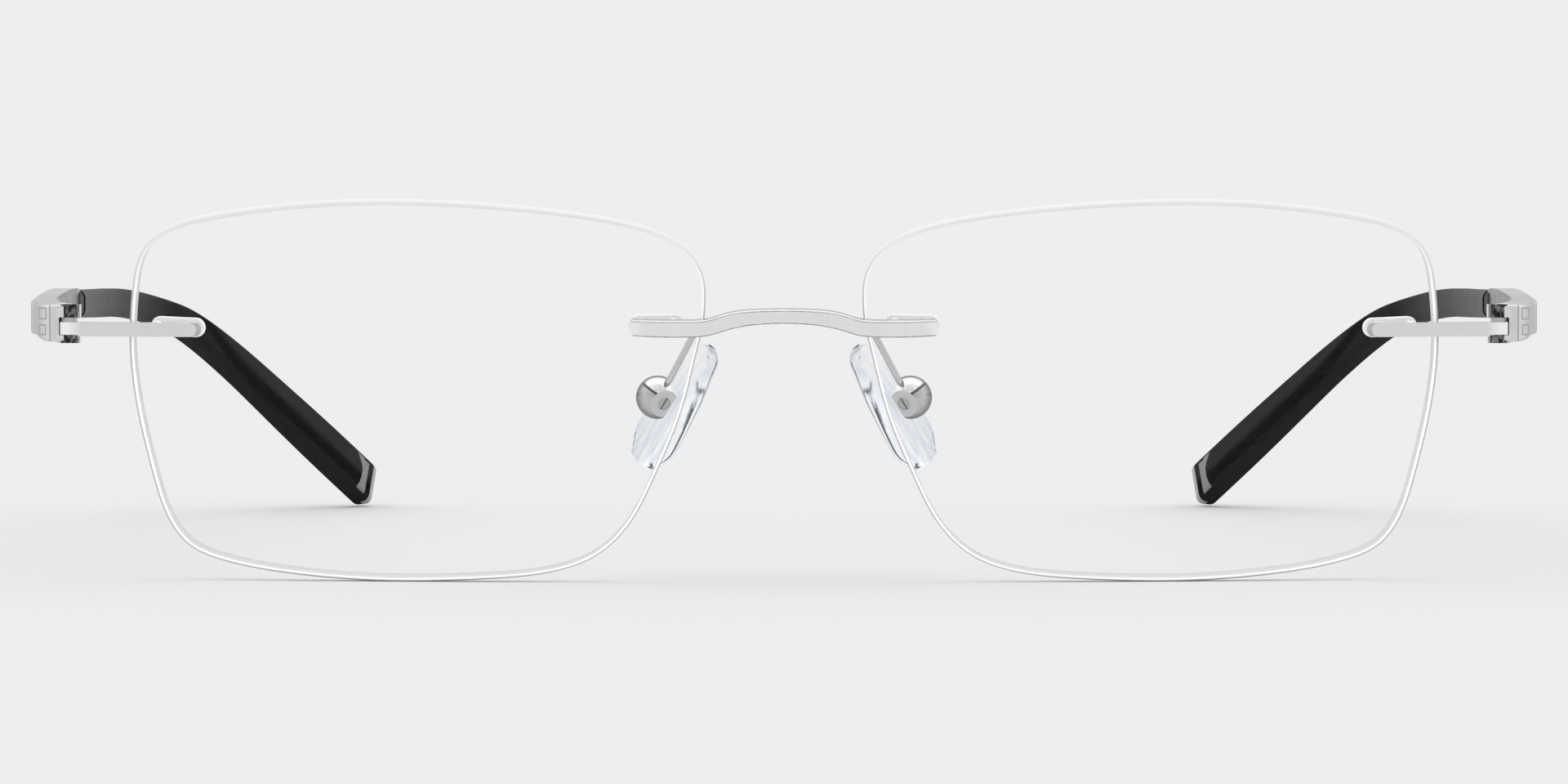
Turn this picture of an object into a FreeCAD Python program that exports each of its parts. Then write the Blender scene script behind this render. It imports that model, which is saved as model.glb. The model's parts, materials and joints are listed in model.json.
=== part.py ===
"""Rimless eyeglasses: two drilled lenses, a bridge and two endpieces held by plugs, folding temples.

Frame: +X to the wearer's left, +Y from the lenses to the ear tips, +Z up. The origin is the
middle of the footprint, on the surface that the lens rims and the ear tips stand on.
Everything is modelled for the left side and mirrored to the right.
"""
import FreeCAD, Part
import math
import os
from FreeCAD import Placement, Rotation, Vector

NO_TURN = Rotation()
SIDES = ("left", "right")

doc = FreeCAD.newDocument("rimless_eyeglasses")

# ---------------------------------------------------------------- driving dimensions (mm, degrees)
SIZES = [
    ("half_depth", 68.05, "front of the bridge to the middle of the footprint"),
    ("bar_height", 24.05, "height of the endpiece bars over the ground"),
    ("lean_angle", 8.0, "lean of the front, top edge forward"),
    ("wrap_angle", 4.0, "turn of each lens about its upright axis"),
    ("lens_radius", 120.0, "radius of the front lens surface"),
    ("lens_thick", 2.0, "lens thickness"),
    ("lens_middle", 34.9, "distance of the lens vertex from the middle plane"),
    ("vertex_drop", 5.9, "lens vertex below the bar height"),
    ("lens_bevel", 0.25, "safety bevel on both lens edges"),
    ("nasal_mount", 11.85, "middle of the nasal pair of holes"),
    ("nasal_lift", 0.25, "nasal holes over the bar height"),
    ("temporal_mount", 58.5, "middle of the temporal pair of holes"),
    ("temporal_drop", 0.54, "temporal holes below the bar height, in the leaning plane"),
    ("hole_pitch", 3.0, "distance between the two holes of a pair"),
    ("hole_bore", 0.68, "radius of a lens hole"),
    ("barrel_radius", 0.66, "outer radius of a plug barrel"),
    ("pin_radius", 0.38, "radius of a mounting pin"),
    ("pin_bore", 0.40, "bore of a plug barrel"),
    ("plate_radius", 0.92, "half the height of the plug's plate"),
    ("plate_over", 0.3, "plate's round end centres beyond the holes"),
    ("plate_thick", 0.7, "thickness of the plug's plate"),
    ("seat_gap", 0.05, "gap between a flat plate and the curved lens"),
    ("dome_radius", 0.62, "radius of the flared head over each pin"),
    ("dome_height", 0.3, "height of the flared head"),
    ("bridge_thick", 1.2, "thickness of the bridge, front to back"),
    ("bar_thick", 1.3, "thickness of the endpiece bar, front to back"),
    ("bar_tall", 1.35, "height of the endpiece bar"),
    ("bar_reach", 13.4, "hinge axis to the inner end of the endpiece bar"),
    ("bar_slant", 14.84, "slant of the endpiece bar to the middle plane's normal"),
    ("bar_back", 0.18, "back face of the bar behind the hinge axis"),
    ("hinge_offset", 68.3, "hinge axis from the middle plane"),
    ("hinge_depth", 6.5, "hinge axis behind the lens vertices"),
    ("tongue_radius", 0.78, "radius of the hinge tongue"),
    ("knuckle_radius", 1.15, "radius of the temple's two knuckles"),
    ("screw_radius", 0.5, "radius of the hinge screw"),
    ("screw_bore", 0.55, "bore of the tongue"),
    ("washer_thick", 0.4, "thickness of the nylon hinge washer"),
    ("upper_tall", 1.25, "height of the upper knuckle"),
    ("lower_tall", 0.75, "height of the lower knuckle"),
    ("hinge_play", 0.05, "play on each hinge face"),
    ("arm_offset", 71.05, "temple centre line from the middle plane"),
    ("arm_lift", 1.98, "temple centre line over the bar height"),
    ("joint_depth", 26.0, "end of the metal temple front behind the lens vertices"),
    ("core_wide", 0.8, "thickness of the temple core wire"),
    ("core_tall", 1.2, "height of the temple core wire"),
    ("pad_length", 13.5, "length of a nose pad"),
    ("pad_width", 7.8, "width of a nose pad"),
    ("pad_thick", 2.7, "thickness of a nose pad"),
    ("pad_stand", 2.55, "nose pad's middle from its screw"),
    ("box_radius", 2.1, "radius of the pad box"),
    ("box_flat", 1.56, "flat lower side of the pad box from its middle"),
    ("box_upper_flat", 1.8, "flat upper side of the pad box from its middle"),
    ("box_face", 0.80, "open face of the pad box from its screw"),
    ("pad_screw_radius", 0.38, "radius of the pad screw"),
    ("lug_bore", 0.42, "bore of the pad lug"),
    ("wire_radius", 0.30, "radius of the pad arm wire"),
]


def make_sheet():
    sheet = doc.addObject("Spreadsheet::Sheet", "sizes")
    for row, (alias, value, meaning) in enumerate(SIZES, start=1):
        sheet.set("A%d" % row, alias)
        sheet.set("B%d" % row, str(value))
        sheet.set("C%d" % row, meaning)
        sheet.setAlias("B%d" % row, alias)
    doc.recompute()
    return sheet


sheet = make_sheet()


def size(alias):
    """The value of one driving dimension."""
    return float(sheet.get(alias))


# ---------------------------------------------------------------- helpers
def bind(obj, **links):
    """Bind properties of an object to expressions on the sheet."""
    for prop, expression in links.items():
        obj.setExpression(prop, expression)
    return obj


def add(kind, name, placement=None, **links):
    obj = doc.addObject(kind, name)
    bind(obj, **links)
    if placement is not None:
        obj.Placement = placement
    return obj


def cylinder(name, placement, radius, height):
    return add("Part::Cylinder", name, placement, Radius=radius, Height=height)


def box(name, corner, edges, placement=Placement()):
    """A box from its lowest corner and its edge lengths, each a number or an expression."""
    made = doc.addObject("Part::Box", name)
    for prop, edge in zip(("Length", "Width", "Height"), edges):
        if isinstance(edge, str):
            made.setExpression(prop, edge)
        else:
            setattr(made, prop, edge)
    made.Placement = placement.multiply(Placement(Vector(*corner), NO_TURN))
    return made


def cut(name, base, tool):
    made = doc.addObject("Part::Cut", name)
    made.Base = base
    made.Tool = tool
    return made


def fuse(name, *shapes):
    made = doc.addObject("Part::MultiFuse", name)
    made.Shapes = list(shapes)
    return made


def common(name, first, second):
    made = doc.addObject("Part::Common", name)
    made.Base = first
    made.Tool = second
    return made


def fillet(name, base, edges, radius, kind="Part::Fillet"):
    """Round or bevel the given edges, which are numbered from 1."""
    made = doc.addObject(kind, name)
    made.Base = base
    made.Edges = [(number, radius, radius) for number in edges]
    return made


def body(name, placement):
    made = doc.addObject("PartDesign::Body", name)
    made.Placement = placement
    return made


def sketch(owner, name, role, curves, offset=Placement()):
    """A sketch of the given curves on one of the body's origin planes."""
    made = owner.newObject("Sketcher::SketchObject", name)
    plane = next(f for f in owner.Origin.OriginFeatures if f.Role == role)
    made.AttachmentSupport = [(plane, "")]
    made.MapMode = "FlatFace"
    made.AttachmentOffset = offset
    made.addGeometry(curves, False)
    return made


def pad(owner, name, profile, length, reverse=False, middle=False):
    made = owner.newObject("PartDesign::Pad", name)
    made.Profile = profile
    made.setExpression("Length", length)
    made.Reversed = reverse
    if middle:
        made.SideType = "Symmetric"
    return made


def pocket(owner, name, profile, length, reverse=False):
    made = owner.newObject("PartDesign::Pocket", name)
    made.Profile = profile
    made.setExpression("Length", length)
    made.Reversed = reverse
    return made


def circle(x, y, radius):
    return Part.Circle(Vector(x, y, 0), Vector(0, 0, 1), radius)


def chain(points):
    """Straight sketch lines round a closed list of points."""
    corners = [Vector(x, y, 0) for x, y in points]
    return [Part.LineSegment(a, b) for a, b in zip(corners, corners[1:] + corners[:1])]


def stadium(half_pitch, radius):
    """Two half circles joined by straight lines, long side along x."""
    right = Part.Arc(Vector(half_pitch, -radius, 0), Vector(half_pitch + radius, 0, 0),
                     Vector(half_pitch, radius, 0))
    left = Part.Arc(Vector(-half_pitch, radius, 0), Vector(-half_pitch - radius, 0, 0),
                    Vector(-half_pitch, -radius, 0))
    top = Part.LineSegment(Vector(half_pitch, radius, 0), Vector(-half_pitch, radius, 0))
    bottom = Part.LineSegment(Vector(-half_pitch, -radius, 0), Vector(half_pitch, -radius, 0))
    return [right, top, left, bottom]


def rounded_box_section(wide, tall, radius, centre=(0.0, 0.0)):
    """A rectangle with rounded corners: x is its width, y its height."""
    across = wide / 2 - radius
    up = tall / 2 - radius
    bend = radius * math.sqrt(0.5)
    curves = []
    corners = [(across, up, 1, 1), (-across, up, -1, 1), (-across, -up, -1, -1), (across, -up, 1, -1)]
    ends = []
    for x, y, sx, sy in corners:
        flat = Vector(x + sx * radius, y, 0)
        side = Vector(x, y + sy * radius, 0)
        start, end = (flat, side) if sx * sy > 0 else (side, flat)
        ends.append((start, Vector(x + sx * bend, y + sy * bend, 0), end))
    for number, (start, middle, end) in enumerate(ends):
        following = ends[(number + 1) % 4][0]
        curves.append(Part.Arc(start, middle, end))
        curves.append(Part.LineSegment(end, following))
    shift = Vector(centre[0], centre[1], 0)
    for curve in curves:
        curve.translate(shift)
    return curves


def mirrored(left_piece, name):
    made = doc.addObject("Part::Mirroring", name)
    made.Source = left_piece
    made.Normal = Vector(1, 0, 0)
    made.Label = name
    return made


# ---------------------------------------------------------------- frames of reference
def front_frame():
    """The leaning front: local x outwards, y back, z up the lens, zero at the bar height."""
    base = Vector(0, -size("half_depth"), size("bar_height"))
    return Placement(base, Rotation(Vector(1, 0, 0), size("lean_angle")))


def lens_centre():
    """Centre of the lens surfaces, in the leaning front."""
    wrap = math.radians(size("wrap_angle"))
    vertex = Vector(size("lens_middle"), 0, -size("vertex_drop"))
    return vertex + Vector(-math.sin(wrap), math.cos(wrap), 0) * size("lens_radius")


def lens_seat(across, up):
    """A frame on the front lens surface: local z is the lens's inward normal, local x runs outwards."""
    centre = lens_centre()
    radius = size("lens_radius")
    depth = centre.y - math.sqrt(radius ** 2 - (across - centre.x) ** 2 - (up - centre.z) ** 2)
    spot = Vector(across, depth, up)
    inward = (centre - spot) / radius
    upward = Vector(0, 0, 1)
    outward = inward.cross(upward) * -1
    return Placement(spot, Rotation(outward, upward, inward, "ZXY"))


def hinge_frame():
    base = Vector(size("hinge_offset"), size("hinge_depth") - size("half_depth"), size("bar_height"))
    return Placement(base, NO_TURN)


def pad_frame():
    """The pad screw: local x runs down the pad, y along the screw to its head, z to the nose."""
    down = Vector(0.52, 0.12, -0.846).normalize()
    nose = Vector(-0.90, 0.43, 0)
    nose = (nose - down * nose.dot(down)).normalize()
    screw = Vector(12.1, 8.0 - size("half_depth"), size("bar_height") - 6.55)
    return Placement(screw, Rotation(down, nose.cross(down), nose, "XZY"))


FRONT = front_frame()
NASAL_SEAT = lens_seat(size("nasal_mount"), size("nasal_lift"))
TEMPORAL_SEAT = lens_seat(size("temporal_mount"), -size("temporal_drop"))
HINGE = hinge_frame()
PAD = pad_frame()
HALF_PITCH = size("hole_pitch") / 2


# ---------------------------------------------------------------- lenses
# Lens outline in the leaning front: distance from the middle plane, height over the bar.
LENS_OUTLINE = [
    (7.42, 2.3), (7.62, 4.9), (8.75, 6.95), (11.2, 8.75), (16.1, 10.3), (24.5, 11.5), (35.5, 12.12),
    (46.5, 11.6), (54.2, 10.4), (58.8, 8.9), (61.0, 6.95), (62.1, 3.1), (62.45, -2.2), (61.85, -8.5),
    (60.5, -14.8), (59.05, -19.2), (57.2, -21.6), (53.6, -23.1), (46.5, -24.15), (37.5, -24.55),
    (28.5, -24.25), (21.9, -23.5), (18.1, -22.1), (14.7, -18.9), (12.1, -13.9), (9.7, -8.0), (8.05, -1.6),
    (7.62, 0.2),
]


def pin_spots():
    """The four pin axes of one lens, as frames on the lens surface."""
    spots = []
    for seat in (NASAL_SEAT, TEMPORAL_SEAT):
        for side in (-HALF_PITCH, HALF_PITCH):
            spots.append(seat.multiply(Placement(Vector(side, 0, 0), NO_TURN)))
    return spots


def make_lens():
    blank = body("lens_blank", Placement())
    outline = Part.BSplineCurve()
    outline.interpolate([Vector(x, y, 0) for x, y in LENS_OUTLINE], PeriodicFlag=True)
    profile = sketch(blank, "lens_outline", "XZ_Plane", [outline])
    pad(blank, "lens_blank_pad", profile, "14 * sizes.lens_thick", middle=True)
    centre = Placement(lens_centre(), NO_TURN)
    front = add("Part::Sphere", "lens_front", centre, Radius="sizes.lens_radius")
    back = add("Part::Sphere", "lens_back", centre, Radius="sizes.lens_radius - sizes.lens_thick")
    disc = common("lens_disc", blank, cut("lens_shell", front, back))
    holes = []
    for number, spot in enumerate(pin_spots(), start=1):
        start = spot.multiply(Placement(Vector(0, 0, -1), NO_TURN))
        holes.append(cylinder("lens_hole_%d" % number, start, "sizes.hole_bore", "2 * sizes.lens_thick"))
    drilled = cut("lens_drilled", disc, fuse("lens_holes", *holes))
    doc.recompute()
    rims = [n for n, edge in enumerate(drilled.Shape.Edges, start=1) if edge.Length > size("lens_radius")]
    lens = fillet("lens_left", drilled, rims, size("lens_bevel"), kind="Part::Chamfer")
    lens.Placement = FRONT
    return lens


# ---------------------------------------------------------------- plugs
def make_plug(name, seat):
    """A clear double plug: a plate behind the lens with two bored barrels that fill the holes."""
    owner = body(name, FRONT.multiply(seat))
    rest = Placement(Vector(0, 0, size("lens_thick") + size("seat_gap")), NO_TURN)
    outline = stadium(HALF_PITCH + size("plate_over"), size("plate_radius"))
    plate = sketch(owner, name + "_plate", "XY_Plane", outline, rest)
    pad(owner, name + "_plate_pad", plate, "sizes.plate_thick")
    rings = [circle(side, 0, size("barrel_radius")) for side in (-HALF_PITCH, HALF_PITCH)]
    barrels = sketch(owner, name + "_barrels", "XY_Plane", rings, rest)
    pad(owner, name + "_barrels_pad", barrels, "sizes.lens_thick - sizes.seat_gap", reverse=True)
    over = Placement(Vector(0, 0, size("lens_thick") + size("seat_gap") + size("plate_thick")), NO_TURN)
    heads = [circle(side, 0, size("dome_radius")) for side in (-HALF_PITCH, HALF_PITCH)]
    domes = sketch(owner, name + "_domes", "XY_Plane", heads, over)
    pad(owner, name + "_domes_pad", domes, "sizes.dome_height")
    bores = [circle(side, 0, size("pin_bore")) for side in (-HALF_PITCH, HALF_PITCH)]
    inner = sketch(owner, name + "_bores", "XY_Plane", bores)
    pocket(owner, name + "_bores_cut", inner, "sizes.lens_thick + sizes.plate_thick", reverse=True)
    return owner


def pins(name, seat):
    """The two pins that run from a bar through the lens into the plug."""
    made = []
    for number, side in enumerate((-HALF_PITCH, HALF_PITCH), start=1):
        start = seat.multiply(Placement(Vector(side, 0, -size("bar_thick") / 2), NO_TURN))
        length = "sizes.bar_thick / 2 + sizes.lens_thick + 0.5 * sizes.plate_thick"
        made.append(cylinder("%s_pin_%d" % (name, number), start, "sizes.pin_radius", length))
    return made


# ---------------------------------------------------------------- bridge
# Half of the bridge: distance from the middle plane, top edge, bottom edge, middle of its depth.
BRIDGE_SECTIONS = [
    (0.0, 2.04, 0.68, 0.25), (1.9, 2.01, 0.60, 0.28), (4.0, 1.86, 0.34, 0.40), (5.65, 1.52, -0.10, 0.53),
    (7.0, 1.09, -0.50, 0.53), (8.3, 0.96, -0.64, 0.44), (9.8, 0.97, -0.65, 0.27),
    (11.3, 1.0, -0.62, 0.09), (12.9, 1.06, -0.53, -0.09), (14.45, 1.14, -0.42, -0.27),
]
BRIDGE_CORNER = 0.2
BRIDGE_END_ROUND = 0.4      # rounding of the bar's two ends, seen from the front
ROOM = 10.0                 # half size of blocks that only need to reach past a piece


def make_bridge():
    owner = body("bridge_bar", Placement())
    half_long, end_top, end_low, _ = BRIDGE_SECTIONS[-1]
    tall = end_top - end_low
    middle = (end_top + end_low) / 2
    half = [(-x, top, low, back) for x, top, low, back in BRIDGE_SECTIONS[:0:-1]]
    profiles = []
    for number, (x, top, low, back) in enumerate(half + BRIDGE_SECTIONS):
        centre = (back, (top + low) / 2)
        outline = rounded_box_section(size("bridge_thick"), top - low, BRIDGE_CORNER, centre)
        offset = Placement(Vector(0, 0, x), NO_TURN)
        profiles.append(sketch(owner, "bridge_section_%d" % number, "YZ_Plane", outline, offset))
    loft = owner.newObject("PartDesign::AdditiveLoft", "bridge_loft")
    loft.Profile = profiles[0]
    loft.Sections = profiles[1:]
    end_outline = rounded_box_section(2 * half_long, tall, BRIDGE_END_ROUND, (0.0, middle))
    ends = body("bridge_ends", Placement())
    profile = sketch(ends, "bridge_ends_outline", "XZ_Plane", end_outline)
    pad(ends, "bridge_ends_pad", profile, "12 mm", middle=True)
    inner_half = half_long - BRIDGE_END_ROUND
    inner = box("bridge_inner", (-inner_half, -ROOM, -ROOM), (2 * inner_half, 2 * ROOM, 2 * ROOM))
    bar = common("bridge_rounded", owner, fuse("bridge_room", ends, inner))
    left_pins = pins("bridge_left", NASAL_SEAT)
    right_pins = [mirrored(pin, pin.Name.replace("left", "right")) for pin in left_pins]
    bridge = fuse("bridge", bar, *left_pins, *right_pins)
    bridge.Placement = FRONT
    return bridge


# ---------------------------------------------------------------- endpieces and hinges
TONGUE_FOOT = 0.50      # tongue below the bar height
TONGUE_HEAD = 0.70      # tongue over the bar height
KNUCKLE_CLEARANCE = 0.2 # full bar height starts this far from the knuckles
BAR_END = 0.45          # outer end of the bar past the hinge axis


def make_endpiece():
    """The bar that carries the outer lens edge, ending in the hinge tongue."""
    turn = Rotation(Vector(0, 0, 1), size("bar_slant"))
    owner = body("endpiece_bar", HINGE.multiply(Placement(Vector(), turn)))
    reach = size("bar_reach")
    foot = TONGUE_HEAD - size("bar_tall")
    middle = (TONGUE_HEAD + foot) / 2
    radius = size("bar_tall") / 2
    clear = size("knuckle_radius") + KNUCKLE_CLEARANCE
    points = [Vector(radius - reach, foot, 0), Vector(-clear, foot, 0), Vector(-clear, -TONGUE_FOOT, 0),
              Vector(BAR_END, -TONGUE_FOOT, 0), Vector(BAR_END, TONGUE_HEAD, 0),
              Vector(radius - reach, TONGUE_HEAD, 0)]
    curves = [Part.LineSegment(a, b) for a, b in zip(points, points[1:])]
    curves.append(Part.Arc(points[-1], Vector(-reach, middle, 0), points[0]))
    front = Placement(Vector(0, 0, size("bar_thick") - size("bar_back")), NO_TURN)
    profile = sketch(owner, "endpiece_side", "XZ_Plane", curves, front)
    pad(owner, "endpiece_pad", profile, "sizes.bar_thick", reverse=True)
    foot_plane = Placement(Vector(0, 0, -TONGUE_FOOT), NO_TURN)
    tongue = sketch(owner, "tongue_ring", "XY_Plane", [circle(0, 0, size("tongue_radius"))], foot_plane)
    pad(owner, "tongue_pad", tongue, "%g mm" % (TONGUE_HEAD + TONGUE_FOOT))
    bore = sketch(owner, "tongue_bore", "XY_Plane", [circle(0, 0, size("screw_bore"))], foot_plane)
    pocket(owner, "tongue_bore_cut", bore, "%g mm" % (TONGUE_HEAD + TONGUE_FOOT), reverse=True)
    carried = [cylinder_on_front(pin) for pin in pins("endpiece", TEMPORAL_SEAT)]
    return fuse("endpiece_left", owner, *carried)


def cylinder_on_front(pin):
    pin.Placement = FRONT.multiply(pin.Placement)
    return pin


def make_washer():
    lift = Placement(Vector(0, 0, TONGUE_HEAD), NO_TURN)
    owner = body("hinge_washer_left", HINGE.multiply(lift))
    rings = [circle(0, 0, size("tongue_radius")), circle(0, 0, size("screw_bore"))]
    profile = sketch(owner, "washer_ring", "XY_Plane", rings)
    pad(owner, "washer_pad", profile, "sizes.washer_thick")
    return owner


def knuckle_levels():
    """Heights of the hinge faces: lower knuckle foot and head, upper knuckle foot and head."""
    lower_head = -TONGUE_FOOT - size("hinge_play")
    upper_foot = TONGUE_HEAD + size("washer_thick") + size("hinge_play")
    return (lower_head - size("lower_tall"), lower_head, upper_foot, upper_foot + size("upper_tall"))


# Screw profile: half section from the foot to the slotted countersunk head.
HEAD_RADIUS = 0.8
HEAD_TALL = 0.4
SLOT_WIDE = 0.22


def make_hinge_screw():
    foot, _, _, head = knuckle_levels()
    owner = body("hinge_screw_body", HINGE)
    radius = size("screw_radius")
    half = chain([(0, foot), (radius, foot), (radius, head - HEAD_TALL), (HEAD_RADIUS, head), (0, head)])
    profile = sketch(owner, "hinge_screw_half", "XZ_Plane", half)
    turn = owner.newObject("PartDesign::Revolution", "hinge_screw_turn")
    turn.Profile = profile
    turn.ReferenceAxis = (profile, ["V_Axis"])
    corner = (-1.0, -SLOT_WIDE / 2, head - SLOT_WIDE)
    slot = box("hinge_screw_slot", corner, (2.0, SLOT_WIDE, 2 * SLOT_WIDE), HINGE)
    return cut("hinge_screw_left", owner, slot)


# ---------------------------------------------------------------- temples
def spline(*points, start=None, end=None):
    """A smooth curve through the points, with given end directions where it meets a straight line."""
    places = [Vector(x, y, 0) for x, y in points]
    curve = Part.BSplineCurve()
    if start is None and end is None:
        curve.interpolate(places)
        return curve
    first = Vector(*start, 0) if start else (places[1] - places[0]).normalize()
    last = Vector(*end, 0) if end else (places[-1] - places[-2]).normalize()
    curve.interpolate(places, InitialTangent=first, FinalTangent=last)
    return curve


def line(first, second):
    return Part.LineSegment(Vector(first[0], first[1], 0), Vector(second[0], second[1], 0))


FRONT_OUTER = 4.3       # outer side of the temple front from the hinge axis
FRONT_INNER = 1.8       # inner side of the temple front from the hinge axis
FRONT_TIP = -1.3        # foremost point of the side view
FRONT_ROUND = 0.28
FORK_OPEN = 0.83        # the fork's slot ends this far outside the hinge axis
FORK_DEEP = 2.0         # the slot reaches this far in front of and inside the hinge axis
RELIEF = (0.15, 0.9, 3.1)   # room for the bar's back edge: outer end, front, rear


def front_plan(rear):
    """The temple front from above."""
    return [
        spline((0.35, -1.15), (1.6, -0.72), (2.9, 0.7), (3.9, 3.0), (FRONT_OUTER, 6.6), end=(0, 1)),
        line((FRONT_OUTER, 6.6), (FRONT_OUTER, rear)),
        line((FRONT_OUTER, rear), (FRONT_INNER, rear)),
        line((FRONT_INNER, rear), (FRONT_INNER, 7.2)),
        spline((FRONT_INNER, 7.2), (1.7, 5.3), (1.35, 3.7), (0.75, 2.3), (-0.2, 1.1), start=(0, -1)),
        line((-0.2, 1.1), (0.35, -1.15)),
    ]


def front_profile(rear, foot):
    """The temple front from the side."""
    top_start, top_end = (FRONT_TIP, 2.38), (rear, 3.72)
    low_start, low_end = (FRONT_TIP, foot + 0.1), (rear, 0.82)
    return [
        spline(low_start, (0.3, foot + 0.22), (2.2, -0.68), (5.2, -0.38), (10.5, 0.02), low_end),
        line(low_end, top_end),
        spline(top_end, (12.5, 3.55), (5.5, 2.93), (0.2, 2.42), top_start),
        line(top_start, low_start),
    ]


def make_temple_front():
    """The metal front of the temple: J-shaped from above, forked at the hinge."""
    foot, slot_foot, slot_head, head = knuckle_levels()
    rear = size("joint_depth") - size("hinge_depth")
    plan = body("temple_plan", HINGE)
    above = sketch(plan, "temple_plan_outline", "XY_Plane", front_plan(rear))
    pad(plan, "temple_plan_pad", above, "12 mm", middle=True)
    side = body("temple_side", HINGE)
    along = sketch(side, "temple_side_outline", "YZ_Plane", front_profile(rear, foot))
    pad(side, "temple_side_pad", along, "12 mm", middle=True)
    shell = common("temple_shell", plan, side)
    doc.recompute()
    long_edges = [n for n, edge in enumerate(shell.Shape.Edges, start=1) if is_long_edge(edge)]
    smooth = fillet("temple_smooth", shell, long_edges, FRONT_ROUND)
    level = Placement(Vector(0, 0, foot), NO_TURN)
    height = "%g mm" % (head - foot)
    knuckle = cylinder("temple_knuckle", HINGE.multiply(level), "sizes.knuckle_radius", height)
    joined = fuse("temple_joined", smooth, knuckle)
    tall = slot_head - slot_foot
    outer, near, far = RELIEF
    fork_size = (FORK_DEEP + FORK_OPEN, FORK_DEEP + 1.0, tall)
    slot = box("hinge_slot", (-FORK_DEEP, -FORK_DEEP, slot_foot), fork_size, HINGE)
    relief_size = (FORK_DEEP + outer, far - near, tall)
    relief = box("hinge_relief", (-FORK_DEEP, near, slot_foot), relief_size, HINGE)
    low = Placement(Vector(0, 0, foot - 1), NO_TURN)
    bore = cylinder("knuckle_bore", HINGE.multiply(low), "sizes.screw_radius", "10 mm")
    seat = Placement(Vector(0, 0, head - HEAD_TALL), NO_TURN)
    sink = add("Part::Cone", "screw_sink", HINGE.multiply(seat), Radius1="sizes.screw_radius")
    sink.Radius2 = HEAD_RADIUS
    sink.Height = HEAD_TALL
    return cut("temple_opened", joined, fuse("hinge_room", slot, relief, bore, sink))


def is_long_edge(edge):
    """Edges that run along the temple front, and not those round the hinge or the rear face."""
    bounds = edge.BoundBox
    return bounds.YLength > 4.0


# The temple's line lies in one plane: level, a slow droop, the ear bend, then straight to the tip.
BEND_PLANE = Placement(Vector(), Rotation(Vector(0, 1, 0), Vector(-0.641, 0, -0.768), Vector(), "XYZ"))
DROOP_START = 48.0
DROOP_RADIUS = 300.0
BEND_START = 90.5
BEND_RADIUS = 49.0
BEND_ANGLE = 39.4
CORE_START = 21.0
CORE_END = 128.0


def temple_line(depth):
    """Offset towards the bend and slope (degrees) of the temple line at a depth behind the lens."""
    droop = math.asin((BEND_START - DROOP_START) / DROOP_RADIUS)
    bend = math.radians(BEND_ANGLE)
    bend_end = BEND_START + BEND_RADIUS * (math.sin(bend) - math.sin(droop))
    fall = DROOP_RADIUS * (1 - math.cos(droop))
    if depth <= DROOP_START:
        return 0.0, 0.0
    if depth <= BEND_START:
        angle = math.asin((depth - DROOP_START) / DROOP_RADIUS)
        return DROOP_RADIUS * (1 - math.cos(angle)), math.degrees(angle)
    if depth <= bend_end:
        angle = math.asin(math.sin(droop) + (depth - BEND_START) / BEND_RADIUS)
        return fall + BEND_RADIUS * (math.cos(droop) - math.cos(angle)), math.degrees(angle)
    low = fall + BEND_RADIUS * (math.cos(droop) - math.cos(bend))
    return low + (depth - bend_end) * math.tan(bend), BEND_ANGLE


def arm_frame():
    base = Vector(size("arm_offset"), -size("half_depth"), size("bar_height") + size("arm_lift"))
    return Placement(base, BEND_PLANE.Rotation)


def line_point(depth):
    offset, _ = temple_line(depth)
    return Vector(depth, offset, 0)


def bend_end_depth():
    droop = (BEND_START - DROOP_START) / DROOP_RADIUS
    return BEND_START + BEND_RADIUS * (math.sin(math.radians(BEND_ANGLE)) - droop)


def make_core():
    """The flat wire inside the temple arm, swept along the temple line."""
    owner = body("temple_core_left", arm_frame())
    depths = [CORE_START, DROOP_START, BEND_START, bend_end_depth(), CORE_END]
    spots = [line_point(depth) for depth in depths]
    droop_middle = line_point((depths[1] + depths[2]) / 2)
    bend_middle = line_point((depths[2] + depths[3]) / 2)
    curves = [
        Part.LineSegment(spots[0], spots[1]),
        Part.Arc(spots[1], droop_middle, spots[2]),
        Part.Arc(spots[2], bend_middle, spots[3]),
        Part.LineSegment(spots[3], spots[4]),
    ]
    spine = sketch(owner, "core_line", "XY_Plane", curves)
    local = BEND_PLANE.Rotation.inverted()
    across = local.multVec(Vector(1, 0, 0)) * (size("core_wide") / 2)
    upward = local.multVec(Vector(0, 0, 1)) * (size("core_tall") / 2)
    corners = [across + upward, upward - across, (across + upward) * -1, across - upward]
    start = Placement(Vector(0, 0, CORE_START), NO_TURN)
    profile = sketch(owner, "core_section", "YZ_Plane", chain([(c.y, c.z) for c in corners]), start)
    pipe = owner.newObject("PartDesign::AdditivePipe", "core_pipe")
    pipe.Profile = profile
    pipe.Spine = spine
    return owner


# Sections of the arm: depth behind the lens vertices, thickness, height, rise over the temple line.
ARM_SECTIONS = [
    (26.0, 2.6, 2.8, 0.2), (37.0, 2.6, 2.87, 0.08), (48.0, 2.6, 2.95, 0.0), (62.0, 2.6, 2.98, 0.0),
    (75.0, 2.6, 3.0, 0.0), (84.0, 2.6, 3.15, 0.0), (92.5, 2.65, 3.38, 0.0), (102.0, 2.7, 3.8, 0.0),
    (113.0, 2.75, 4.35, 0.0), (125.0, 2.8, 5.1, 0.0), (135.72, 2.7, 5.35, 0.0),
]
ARM_CORNER = 0.85
TIP_ROUND = 0.7


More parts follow.
